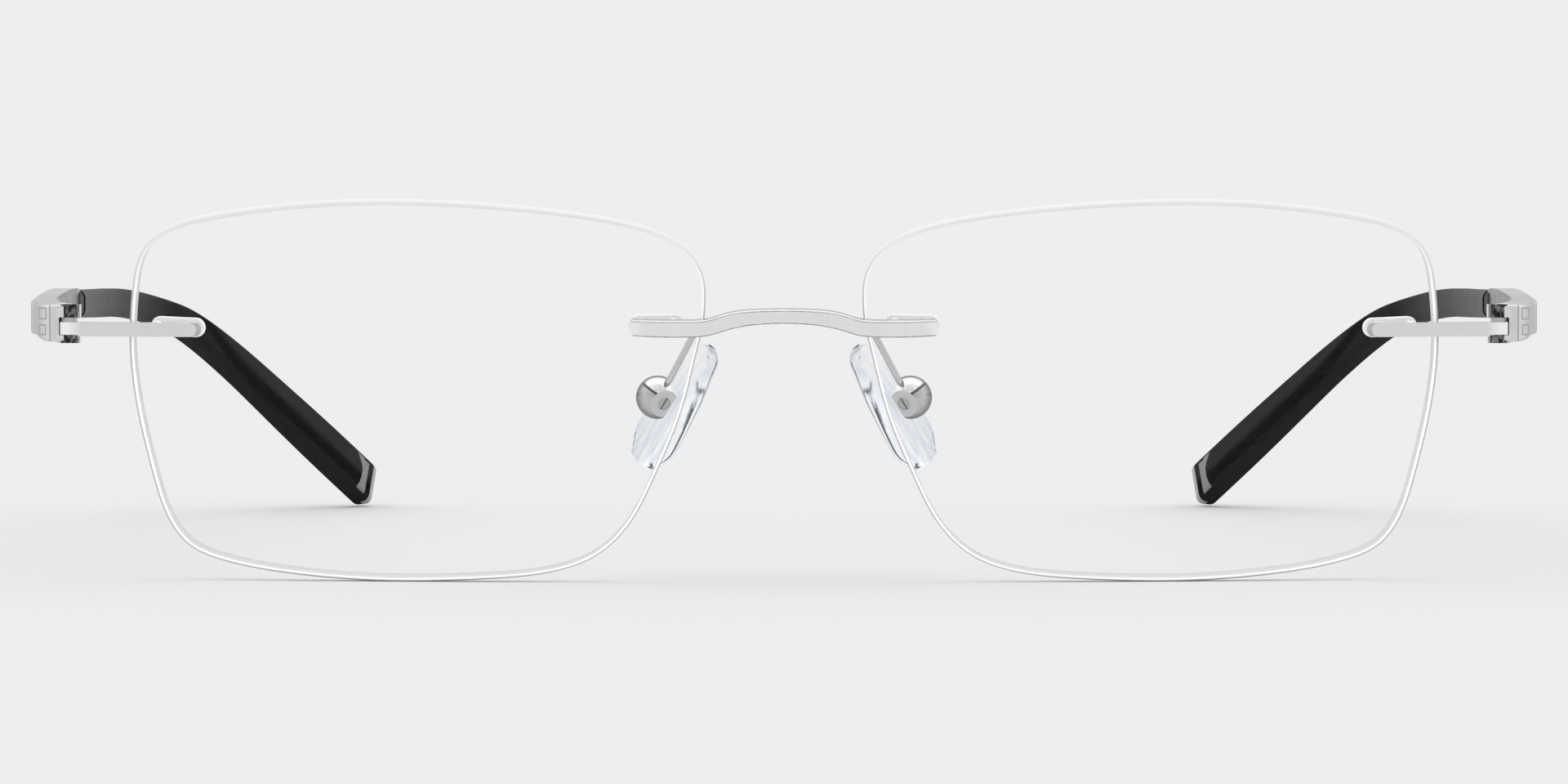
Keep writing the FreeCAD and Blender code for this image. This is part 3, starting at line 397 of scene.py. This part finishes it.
# Every metal below is painted darker as shade where it turns away.
SILVER = metal("silver_metal", (0.82, 0.82, 0.83), 0.24, grain=(900.0, 4200.0, 6200.0), depth=0.0006)
SHELL = metal("shell_metal", (0.68, 0.68, 0.69), 0.2, grain=(5200.0, 5200.0, 700.0), depth=0.012,
              dark=0.45, turn=(0.45, 0.85), panels=True)
# A darker copy of the silver for the fillet under the bridge: painted shade.
BRIDGE_FILLET_SHADE = metal("bridge_fillet_painted_shade", (0.42, 0.42, 0.43), 0.25, grain=(900.0, 4200.0, 6200.0), depth=0.0006)
BOX = pad_box_metal()
# The bar turns white towards its outer end: a painted highlight.
BAR = metal("bar_metal", (0.69, 0.69, 0.70), 0.2, grain=(4200.0, 900.0, 6200.0), depth=0.0012,
            dark=0.6, turn=(0.3, 0.8), pale=(66.9, 68.2))
WIRE = metal("wire_metal", (0.60, 0.60, 0.61), 0.2, grain=(1500.0, 1500.0, 500.0), depth=0.002,
             dark=0.7, turn=(0.35, 0.7))
SCREW = metal("screw_steel", (0.42, 0.42, 0.43), 0.3, grain=(2600.0, 2600.0, 600.0), depth=0.004)
CORE = metal("core_steel", (0.5, 0.5, 0.51), 0.35, grain=(2600.0, 300.0, 2600.0), depth=0.004)
# The plug's white rim, dark outline and emission are painted light and shade.
PLUG = clear("clear_plug", (0.80, 0.805, 0.81), 0.16, ior=1.45, clarity=0.3, rim=(1.0, 1.0, 1.0), painted_glow=0.12)
# The knuckles are painted dark where they face the viewer, in blotches: a painted reflection.
KNUCKLE_REFLECTION = metal("knuckle_painted_reflection", (0.78, 0.78, 0.79), 0.12, grain=(1500.0, 1500.0, 1500.0), depth=0.010,
                dark=0.97, turn=(0.2, 0.6), shade_blotches=0.25, hollow=True)
# The inner wall of the temple front is painted dark as shade.
WALL_SHADE = metal("inner_wall_painted_shade", (0.16, 0.16, 0.165), 0.25, grain=(1500.0, 1500.0, 1500.0), depth=0.004)
SATIN = metal("satin_metal", (0.56, 0.56, 0.57), 0.26, grain=(2600.0, 2600.0, 900.0), depth=0.003,
              dark=0.75, turn=(0.25, 0.72))
SILICONE = silicone()
PAD_CORE = clear("pad_core", (0.95, 0.965, 0.985), 0.05, ior=1.06)
NYLON = clear("washer_nylon", (0.85, 0.85, 0.84), 0.4, ior=1.5, clarity=0.0)
# The arms' lighter front and sheen, the tip's grey glint and light rim, and the black front seam are painted.
BLACK = black_acetate("black_acetate", front=0.165, rear=0.003, roughness=0.6, level=0.006)
TIP_GLINT_PAINT = black_acetate("tip_painted_glint", front=0.16, rear=0.16, roughness=0.12, level=0.6)
RIM_HIGHLIGHT = black_acetate("tip_rim_painted_highlight", front=0.40, rear=0.40, roughness=0.3, level=0.3)
SEAM_SHADE = black_acetate("arm_seam_painted_shade", front=0.001, rear=0.001, roughness=0.6, level=0.01)
FACE = lens_face()
# The rim's bright line with its emission and its grey outer line are painted highlight and shade.
CORE_EDGE = lens_edge("lens_edge_painted_highlight", low=0.97, top=0.52, roughness=0.35, painted_glow=0.3)
OUTER_EDGE = lens_edge("lens_outer_line_painted_shade", low=0.60, top=0.90, roughness=0.3)
CUT_EDGE = lens_edge("lens_cut_edge", low=0.90, top=0.92, roughness=0.35)

NODE_MATERIALS = {
    "bridge": [SILVER, BRIDGE_FILLET_SHADE], "endpiece": [BAR], "temple_front": [SHELL, KNUCKLE_REFLECTION, WALL_SHADE],
    "pad_arm": [WIRE], "pad_box": [BOX, SATIN], "pad_screw": [SCREW], "hinge_screw": [SCREW],
    "temple_core": [CORE], "nasal_plug": [PLUG], "temporal_plug": [PLUG], "pad_insert": [PAD_CORE],
    "nose_pad": [SILICONE], "hinge_washer": [NYLON], "temple_arm": [BLACK], "lens": [FACE],
}
# The temple front's knuckles, painted dark as a reflection, and its inner wall, painted dark as shade,
# measured from the hinge axis, and the most that the wall's normal points outwards.
KNUCKLE_REACH, KNUCKLE_OUTSIDE, WALL_START, WALL_TURN = 1.19, 0.75, 1.0, -0.1
# The fillet under the bridge's front, painted darker as shade: limits of its normal's part along y, and the
# most along z.
FILLET_Y, FILLET_Z = (-0.9, -0.2), -0.3
FLAT_SIDE = 0.99            # the pad box's flat side: the least share of its normal that points across


def face_material(kind, offset, normal):
    """Number of a face's material; its offset from the hinge and its normal are as on the left side."""
    if kind == "temple_front":
        if math.hypot(offset[0], offset[1]) < KNUCKLE_REACH and offset[0] < KNUCKLE_OUTSIDE:
            return 1
        inner_wall = normal[0] < WALL_TURN and offset[1] > WALL_START
        return 2 if inner_wall else 0
    if kind == "bridge":
        fillet = FILLET_Y[0] < normal[1] < FILLET_Y[1] and normal[2] < FILLET_Z
        return 1 if fillet else 0
    flat_side = kind == "pad_box" and normal @ PAD_ACROSS > FLAT_SIDE
    return 1 if flat_side else 0


for name, node in frame["nodes"].items():
    kind = name.removesuffix("_left").removesuffix("_right")
    flip = np.array([-1 if name.endswith("_right") else 1, 1, 1])
    node.data.materials.clear()
    for material in NODE_MATERIALS[kind]:
        node.data.materials.append(material)
    for face in node.data.polygons:
        face.material_index = face_material(kind, np.array(face.center) * flip / MM - HINGE,
                                            np.array(face.normal) * flip)


# ---------------------------------------------------------------- mesh helpers
def cubic(knots, values, at):
    """A natural cubic curve through (knot, value) pairs, read at the given places."""
    knots, values, at = (np.asarray(v, float) for v in (knots, values, at))
    count = len(knots)
    step = np.diff(knots)
    matrix = np.eye(count)
    right = np.zeros(count)
    for i in range(1, count - 1):
        matrix[i, i - 1:i + 2] = (step[i - 1], 2 * (step[i - 1] + step[i]), step[i])
        right[i] = 6 * ((values[i + 1] - values[i]) / step[i] - (values[i] - values[i - 1]) / step[i - 1])
    second = np.linalg.solve(matrix, right)
    i = np.clip(np.searchsorted(knots, at, side="right") - 1, 0, count - 2)
    h = step[i]
    a = (knots[i + 1] - at) / h
    b = (at - knots[i]) / h
    return (a * values[i] + b * values[i + 1]
            + ((a ** 3 - a) * second[i] + (b ** 3 - b) * second[i + 1]) * h ** 2 / 6)


def closed_curve(points, count):
    """A smooth closed curve through the points, as evenly spaced points."""
    ring = np.array(points + points[:1], float)
    wrapped = np.vstack([ring[-5:-1], ring, ring[1:5]])
    along = np.concatenate([[0], np.cumsum(np.linalg.norm(np.diff(wrapped, axis=0), axis=1))])
    start, end = along[4], along[-5]
    fine = np.linspace(start, end, 4000)
    curve = np.stack([cubic(along, wrapped[:, k], fine) for k in range(wrapped.shape[1])], axis=1)
    length = np.concatenate([[0], np.cumsum(np.linalg.norm(np.diff(curve, axis=0), axis=1))])
    even = np.linspace(0, length[-1], count, endpoint=False)
    return np.stack([np.interp(even, length, curve[:, k]) for k in range(curve.shape[1])], axis=1)


def tube(rings):
    """Quads between rings of equal point counts, ring after ring, then a cap on the first and the last."""
    count = len(rings[0])
    faces = []
    for r in range(len(rings) - 1):
        for i in range(count):
            j = (i + 1) % count
            faces.append((r * count + i, r * count + j, (r + 1) * count + j, (r + 1) * count + i))
    last = (len(rings) - 1) * count
    return faces + [tuple(reversed(range(count))), tuple(range(last, last + count))]


def build(name, points, faces, body, materials, sign, replaced, which=None):
    """A mesh piece from points in mm in the row frame; sign -1 mirrors it to the right side.

    Which holds the number of each face's material.
    """
    points = np.array(points, float)
    points[:, 0] *= sign
    if sign < 0:
        faces = [tuple(reversed(face)) for face in faces]
    mesh = bpy.data.meshes.new(name)
    mesh.from_pydata([tuple(p) for p in points * MM], [], faces)
    for material in materials:
        mesh.materials.append(material)
    for number, face in enumerate(mesh.polygons):
        face.use_smooth = True
        if which is not None:
            face.material_index = which[number]
    mesh.update()
    piece = bpy.data.objects.new(name, mesh)
    bpy.context.scene.collection.objects.link(piece)
    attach(piece, body)
    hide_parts(*replaced)
    return piece


def to_front(points):
    """From the leaning front (x outwards, y back, z up the lens) to the row frame."""
    points = np.array(points, float)
    y = points[:, 1] * math.cos(LEAN) - points[:, 2] * math.sin(LEAN)
    z = points[:, 1] * math.sin(LEAN) + points[:, 2] * math.cos(LEAN)
    return np.stack([points[:, 0], y + FRONT_Y, z + BAR_HEIGHT], axis=1)


# ---------------------------------------------------------------- lenses
# Lens outline in the leaning front: distance from the middle plane, height over the bar.
LENS_OUTLINE = [
    (7.42, 2.3), (7.62, 4.9), (8.75, 6.95), (11.2, 8.75), (16.1, 10.3), (24.5, 11.5), (35.5, 12.12),
    (46.5, 11.6), (54.2, 10.4), (58.8, 8.9), (61.0, 6.95), (62.1, 3.1), (62.45, -2.2), (61.85, -8.5),
    (60.5, -14.8), (59.05, -19.2), (57.2, -21.6), (53.6, -23.1), (46.5, -24.15), (37.5, -24.55),
    (28.5, -24.25), (21.9, -23.5), (18.1, -22.1), (14.7, -18.9), (12.1, -13.9), (9.7, -8.0), (8.05, -1.6),
    (7.62, 0.2),
]
LENS_POINTS = 320           # points round the outline
LENS_RADIUS = 120.0
LENS_THICK = 2.0
LENS_MIDDLE = np.array([34.9, -5.9])
WRAP = math.radians(4.0)
LENS_CENTRE = np.array([LENS_MIDDLE[0] - math.sin(WRAP) * LENS_RADIUS, math.cos(WRAP) * LENS_RADIUS,
                        LENS_MIDDLE[1]])
# The bevel round the lens: its width on the side of the nose and of the temple, its depth, and the width of
# the lines along its two edges.
BEVEL_NASAL, BEVEL_TEMPORAL, BEVEL_DEEP, LINE_WIDE = 0.27, 0.42, 0.25, 0.075
# Rings of the lens's face, as shares of the way from its middle to the bevel.
FACE_SHARES = (0.02, 0.15, 0.3, 0.45, 0.6, 0.75, 0.88, 0.96)


def lens_depth(spots, inside):
    """Depth of the lens surface at the spots, a distance inside the front surface."""
    flat = (spots[:, 0] - LENS_CENTRE[0]) ** 2 + (spots[:, 1] - LENS_CENTRE[2]) ** 2
    return LENS_CENTRE[1] - np.sqrt((LENS_RADIUS - inside) ** 2 - flat)


def make_lens(side, sign):
    """A lens whose kinds of face are 0 the face, 1 its painted bright line, 2 the painted outer line and 3
    the cut edge.
    """
    outline = closed_curve(LENS_OUTLINE, LENS_POINTS)
    ahead = np.roll(outline, -1, axis=0) - np.roll(outline, 1, axis=0)
    ahead /= np.linalg.norm(ahead, axis=1)[:, None]
    inward = np.stack([-ahead[:, 1], ahead[:, 0]], axis=1)
    if ((outline + inward - LENS_MIDDLE) ** 2).sum() > ((outline - LENS_MIDDLE) ** 2).sum():
        inward = -inward

    reach = (outline[:, 0] - outline[:, 0].min()) / np.ptp(outline[:, 0])
    bevel = (BEVEL_NASAL + (BEVEL_TEMPORAL - BEVEL_NASAL) * reach)[:, None]

    def ring(inset, inside, share=1.0):
        spots = outline + inward * (inset[0] * bevel + inset[1])
        spots = LENS_MIDDLE + (spots - LENS_MIDDLE) * share
        return np.stack([spots[:, 0], lens_depth(spots, inside), spots[:, 1]], axis=1)

    # Insets as a share of the bevel and a further width.
    line, start, half, near = (1, LINE_WIDE), (1, 0), (0.5, 0), (0, 0.04)
    rings = [ring(line, 0.0, share) for share in FACE_SHARES]
    kinds = [0] * (len(FACE_SHARES) - 1)
    upper, lower, cut = BEVEL_DEEP * 0.45, BEVEL_DEEP * 0.92, BEVEL_DEEP + LINE_WIDE
    edge = [(line, 0.0, 0), (start, 0.0, 1), (half, upper, 1), (near, lower, 2), ((0, 0), cut, 2),
            ((0, 0), LENS_THICK / 2, 3), ((0, 0), LENS_THICK - cut, 3), (near, LENS_THICK - lower, 3),
            (half, LENS_THICK - upper, 3), (start, LENS_THICK, 3), (line, LENS_THICK, 3)]
    for inset, inside, kind in edge:
        rings.append(ring(inset, inside))
        kinds.append(kind)
    for share in reversed(FACE_SHARES):
        rings.append(ring(line, LENS_THICK, share))
        kinds.append(0)
    which = [kind for kind in kinds for _ in outline] + [0, 0]
    build(f"lens_shell_{side}", to_front(np.vstack(rings)), tube(rings), "front",
          [FACE, CORE_EDGE, OUTER_EDGE, CUT_EDGE], sign, [f"lens_{side}"], which)


# ---------------------------------------------------------------- plugs
PLUG_HALF_PITCH, PLUG_OVER = 1.5, 0.3
# Middle of each plug on the lens: distance from the middle plane, height over the bar.
PLUG_MOUNTS = {"nasal": (11.85, 0.25), "temporal": (58.5, -0.54)}
# Profiles along the lens's inward normal: place, radius.
PLATE = [(2.05, 0.05), (2.05, 0.74), (2.09, 0.85), (2.2, 0.92), (2.55, 0.92), (2.68, 0.87), (2.74, 0.76),
         (2.75, 0.6), (2.75, 0.05)]
HEAD = [(2.7, 0.05), (2.7, 0.62), (2.85, 0.61), (2.95, 0.53), (3.02, 0.36), (3.05, 0.05)]
BARREL = [(0.06, 0.05), (0.06, 0.62), (0.1, 0.66), (2.1, 0.66), (2.1, 0.05)]


def turned_shell(profile, half_pitch, shift, count=64):
    """Points and faces of a stadium shape with the given profile; half pitch 0 makes it round."""
    rings = []
    for place, radius in profile:
        angles = np.linspace(0, 2 * math.pi, count, endpoint=False)
        across = radius * np.cos(angles) + np.where(np.cos(angles) > 0, half_pitch, -half_pitch) + shift
        rings.append(np.stack([across, radius * np.sin(angles), np.full(count, place)], axis=1))
    return np.vstack(rings), tube(rings)


def make_plug(kind, side, sign):
    """A clear plate behind the lens with two barrels through it and two flared heads."""
    spot = np.array(PLUG_MOUNTS[kind])
    vertex = np.array([spot[0], lens_depth(spot[None, :], 0.0)[0], spot[1]])
    inward = (LENS_CENTRE - vertex) / LENS_RADIUS
    across = unit(np.cross(inward, [0.0, 0.0, 1.0]))
    upward = np.cross(inward, across)
    upward = upward if upward[2] > 0 else -upward
    points, faces = [], []
    shells = [(PLATE, PLUG_HALF_PITCH + PLUG_OVER, 0.0)]
    for shape in (HEAD, BARREL):
        shells += [(shape, 0.0, -PLUG_HALF_PITCH), (shape, 0.0, PLUG_HALF_PITCH)]
    for shape, half_pitch, shift in shells:
        more, cells = turned_shell(shape, half_pitch, shift)
        faces += [tuple(corner + len(points) for corner in cell) for cell in cells]
        points += list(vertex + more @ np.array([across, upward, inward]))
    build(f"{kind}_clip_{side}", to_front(points), faces, "front", [PLUG], sign,
          [f"{kind}_plug_{side}"])


# ---------------------------------------------------------------- temple arms
# Depth behind the lens vertices, thickness, height, rise over the temple line.
ARM_SECTIONS = [
    (ARM_START, 2.6, 2.8, 0.2), (37.0, 2.6, 2.87, 0.08), (48.0, 2.6, 2.95, 0.0), (62.0, 2.6, 2.98, 0.0),
    (75.0, 2.6, 3.0, 0.0), (84.0, 2.6, 3.15, 0.0), (92.5, 2.65, 3.38, 0.0), (102.0, 2.7, 3.8, 0.0),
    (113.0, 2.75, 4.35, 0.0), (125.0, 2.8, 5.1, 0.0), (ARM_STOP, 2.7, 5.35, 0.0),
]


def rounded_section(wide, tall, radius, per_corner=6, per_side=12):
    """Points round a rectangle with rounded corners."""
    across, up = wide / 2 - radius, tall / 2 - radius
    points = []
    for sx, sy, first in ((1, 1, 0), (-1, 1, 90), (-1, -1, 180), (1, -1, 270)):
        for k in range(per_corner + 1):
            angle = math.radians(first + 90 * k / per_corner)
            points.append((sx * across + radius * math.cos(angle), sy * up + radius * math.sin(angle)))
        nx, ny = {0: (-1, 1), 90: (-1, -1), 180: (1, -1), 270: (1, 1)}[first]
        angle = math.radians(first + 90)
        here = np.array(points[-1])
        there = np.array((nx * across + radius * math.cos(angle), ny * up + radius * math.sin(angle)))
        for k in range(1, per_side):
            points.append(tuple(here + (there - here) * k / per_side))
    return np.array(points)


# Gloss and a painted glint on the inner side of the tip: its reach from the end in the middle, how much
# further it reaches at the top and the bottom, its half height as a share of the arm's, and the reach of the
# tip's rim, painted light as a highlight.
GLINT, GLINT_FLARE, GLINT_HIGH, RIM_WIDE = (1.9, 2.9), (1.1, 0.5), 0.33, 1.0
# Faces this far inwards of the arm's middle are its inner side.
INNER_SIDE = -0.8
# Rounding of the arm's corners and of its end, and the length before the end where the rings lie closer.
ARM_CORNER, TIP_ROUND, TIP_FINE = 0.85, 0.7, 5.0
# Rings along the arm, along that last length and, one less, round the end; the gap between the first two.
ARM_RINGS, FINE_RINGS, END_RINGS, RING_GAP = 90, 30, 7, 0.15


def make_arm(side, sign):
    """The black arm; faces are 0 black, 1 painted glint, 2 tip's rim painted light, 3 front seam painted as
    shade.
    """
    table = np.array(ARM_SECTIONS)
    rings = []
    spots = list(np.linspace(ARM_START, ARM_STOP - TIP_FINE, ARM_RINGS))
    spots += list(np.linspace(ARM_STOP - TIP_FINE + RING_GAP, ARM_STOP - TIP_ROUND, FINE_RINGS))
    tip = [math.sin(a) for a in np.linspace(0, math.pi / 2, END_RINGS)[1:]]
    for number, depth in enumerate(spots + [ARM_STOP - TIP_ROUND + TIP_ROUND * t for t in tip]):
        wide, tall, rise = (cubic(table[:, 0], table[:, k], [min(depth, ARM_STOP)])[0] for k in (1, 2, 3))
        inset = 0.0
        if number >= len(spots):
            inset = TIP_ROUND * (1 - math.sqrt(max(0.0, 1 - tip[number - len(spots)] ** 2)))
        flat = rounded_section(wide - 2 * inset, tall - 2 * inset, ARM_CORNER - inset * 0.7)
        fall, angle = temple_line(depth)
        turn = temple_turn(angle)
        centre = ARM_BASE + np.array([0, depth, 0]) + DOWN * fall
        ring = centre + np.outer(flat[:, 0], turn @ [1, 0, 0]) + np.outer(flat[:, 1] + rise, turn @ [0, 0, 1])
        rings.append(ring)
    faces = tube(rings)
    points = np.vstack(rings)
    which = [0] * len(faces)
    for number, face in enumerate(faces[:-2]):
        row = number // len(rings[0])
        middle = points[list(face)].mean(axis=0)
        across, _, fall = middle - rings[row].mean(axis=0)
        inner = across < INNER_SIDE
        behind = ARM_STOP - (spots[row] if row < len(spots) else ARM_STOP)
        high = fall / ARM_SECTIONS[-1][2]
        flare = (GLINT_FLARE[0] if high > 0 else GLINT_FLARE[1]) * (high / GLINT_HIGH) ** 2
        # The inner half of the tip's rim is painted light as a highlight.
        if behind < RIM_WIDE and across < 0:
            which[number] = 2
        # The front seam on the inner side is painted black as shade.
        elif inner and row == 0:
            which[number] = 3
        # The inner side of the tip gets a painted glint.
        elif inner and abs(high) < GLINT_HIGH and GLINT[0] < behind < GLINT[1] + flare:
            which[number] = 1
    build(f"arm_sleeve_{side}", points, faces, f"temple_{side}",
          [BLACK, TIP_GLINT_PAINT, RIM_HIGHLIGHT, SEAM_SHADE], sign, [f"temple_arm_{side}"], which)


# ---------------------------------------------------------------- nose pads
# Size of the pad, then the place of its middle over the screw and beside it.
PAD_LENGTH, PAD_WIDTH, PAD_THICK, PAD_STAND, PAD_SIDE = 13.5, 7.8, 2.7, 2.55, -0.4
PAD_RINGS, PAD_POINTS = 72, 120
# Hollow of the back as a share of the thickness and of the half width, and the fine ripples round the pad.
HOLLOW_DEEP, HOLLOW_WIDE, RIPPLE_DEEP, RIPPLES = 0.34, 0.5, 0.03, 10
# Place along the pad, width and thickness, as shares of the pad's own.
PAD_SECTIONS = [
    (-0.50, 0.10, 0.14), (-0.465, 0.33, 0.50), (-0.38, 0.52, 0.76), (-0.22, 0.70, 0.93), (0.0, 0.87, 1.0),
    (0.20, 0.98, 1.0), (0.345, 0.92, 0.93), (0.445, 0.65, 0.74), (0.49, 0.33, 0.45), (0.50, 0.14, 0.22),
]


def make_nose_pad(side, sign):
    """A teardrop of clear silicone with a hollowed back, moulded round its hard core."""
    table = np.array(PAD_SECTIONS)
    turn = np.linspace(0, math.pi, PAD_RINGS)
    along = -np.cos(turn) * 0.4995
    wide = cubic(table[:, 0], table[:, 1], along) * PAD_WIDTH / 2
    thick = cubic(table[:, 0], table[:, 2], along) * PAD_THICK / 2
    around = np.linspace(0, 2 * math.pi, PAD_POINTS, endpoint=False)
    middle = PAD_SCREW + PAD_ACROSS * PAD_SIDE + PAD_NOSE * PAD_STAND
    rings = []
    for place, half, deep in zip(along, wide, thick):
        across = half * np.cos(around)
        out = deep * np.sin(around)
        hollow = HOLLOW_DEEP * np.exp(-(np.cos(around) / HOLLOW_WIDE) ** 2) * (1 - (place / 0.5) ** 4)
        ripple = RIPPLE_DEEP * np.cos(RIPPLES * around + 2 * place) * (1 - (place / 0.5) ** 2)
        out = np.where(out < 0, out * (1 - hollow), out) * (1 - ripple)
        rings.append(middle + PAD_DOWN * place * PAD_LENGTH
                     + np.outer(across, PAD_ACROSS) + np.outer(out, PAD_NOSE))
    pad = build(f"silicone_pad_{side}", np.vstack(rings), tube(rings), f"pad_{side}",
                [SILICONE], sign, [f"nose_pad_{side}"])


for side, sign in SIDES.items():
    make_lens(side, sign)
    make_plug("nasal", side, sign)
    make_plug("temporal", side, sign)
    make_arm(side, sign)
    make_nose_pad(side, sign)

# ---------------------------------------------------------------- camera
CAMERA_BACK, CAMERA_HEIGHT = 0.450, 0.03264
CAMERA_TILT = math.radians(1.83)
CAMERA_SENSOR, CAMERA_LENS = 36, 109.7
camera = bpy.data.objects.new("camera", bpy.data.cameras.new("camera"))
bpy.context.scene.collection.objects.link(camera)
camera.location = (0, FRONT_Y * MM - CAMERA_BACK, CAMERA_HEIGHT)
camera.rotation_euler = (math.pi / 2 - CAMERA_TILT, 0, 0)
camera.data.sensor_width = CAMERA_SENSOR
camera.data.lens = CAMERA_LENS
camera.data.clip_start = 0.01
bpy.context.scene.camera = camera

# ---------------------------------------------------------------- studio
BACKGROUND = 0.855
OPENING_DARK = 0.75
FLOOR_HALF = 6.0
FLOOR_ALBEDO = 0.82


def make_world():
    """A pale studio dome: what the camera sees is even, what lights the object is softly varied."""
    world = bpy.data.worlds.new("studio")
    bpy.context.scene.world = world
    world.use_nodes = True
    sky = Nodes(world.node_tree)
    split = sky.node("ShaderNodeSeparateXYZ")
    sky.link(sky.node("ShaderNodeTexCoord").outputs["Generated"], split.inputs[0])
    across, back, height = sky.math("ABSOLUTE", split.outputs["X"], 0), split.outputs["Y"], split.outputs["Z"]

    def spread(source, *ends):
        return sky.ramp(source, *ends, interpolation_type="SMOOTHSTEP")

    # The dome is dimmer on the camera's side, brighter overhead, and like the backdrop at the far end.
    dome = sky.math("MULTIPLY", spread(back, -0.80, 0.10, 0.72, 1.0), spread(height, 0.35, 0.9, 1.0, 1.25))
    far = spread(back, 0.60, 0.93, 0.0, 1.0)
    blended = sky.math("ADD", sky.math("MULTIPLY", dome, sky.math("SUBTRACT", 1.0, far)),
                       sky.math("MULTIPLY", far, BACKGROUND))
    # A dark opening low on the camera's side, as a camera and its stand would leave.
    narrow = sky.math("MULTIPLY", spread(across, 0.16, 0.36, 1.0, 0.0), spread(back, -0.92, -0.80, 1.0, 0.0))
    opening = sky.math("MULTIPLY", narrow, spread(height, 0.25, 0.42, 1.0, 0.0))
    kept = sky.math("SUBTRACT", 1.0, sky.math("MULTIPLY", opening, OPENING_DARK))

    lighting = sky.tree.nodes["Background"]
    sky.link(sky.math("MULTIPLY", blended, kept), lighting.inputs["Strength"])
    lighting.inputs["Color"].default_value = (1, 1, 1, 1)
    backdrop = sky.node("ShaderNodeBackground", Color=(BACKGROUND, BACKGROUND, BACKGROUND, 1))
    choose = sky.node("ShaderNodeMixShader")
    sky.link(sky.node("ShaderNodeLightPath").outputs["Is Camera Ray"], choose.inputs[0])
    sky.link(lighting.outputs[0], choose.inputs[1])
    sky.link(backdrop.outputs[0], choose.inputs[2])
    sky.link(choose.outputs[0], sky.tree.nodes["World Output"].inputs["Surface"])


make_world()
bpy.context.scene.view_settings.view_transform = "Standard"
mesh = bpy.data.meshes.new("floor")
corners = [(-FLOOR_HALF, -FLOOR_HALF, 0), (FLOOR_HALF, -FLOOR_HALF, 0),
           (FLOOR_HALF, FLOOR_HALF, 0), (-FLOOR_HALF, FLOOR_HALF, 0)]
mesh.from_pydata(corners, [], [(0, 1, 2, 3)])
floor = bpy.data.objects.new("floor", mesh)
bpy.context.scene.collection.objects.link(floor)
floor_paint = Shader("floor", (FLOOR_ALBEDO, FLOOR_ALBEDO, FLOOR_ALBEDO), 1.0, Specular_IOR_Level=0.0)
floor.data.materials.append(floor_paint.material)
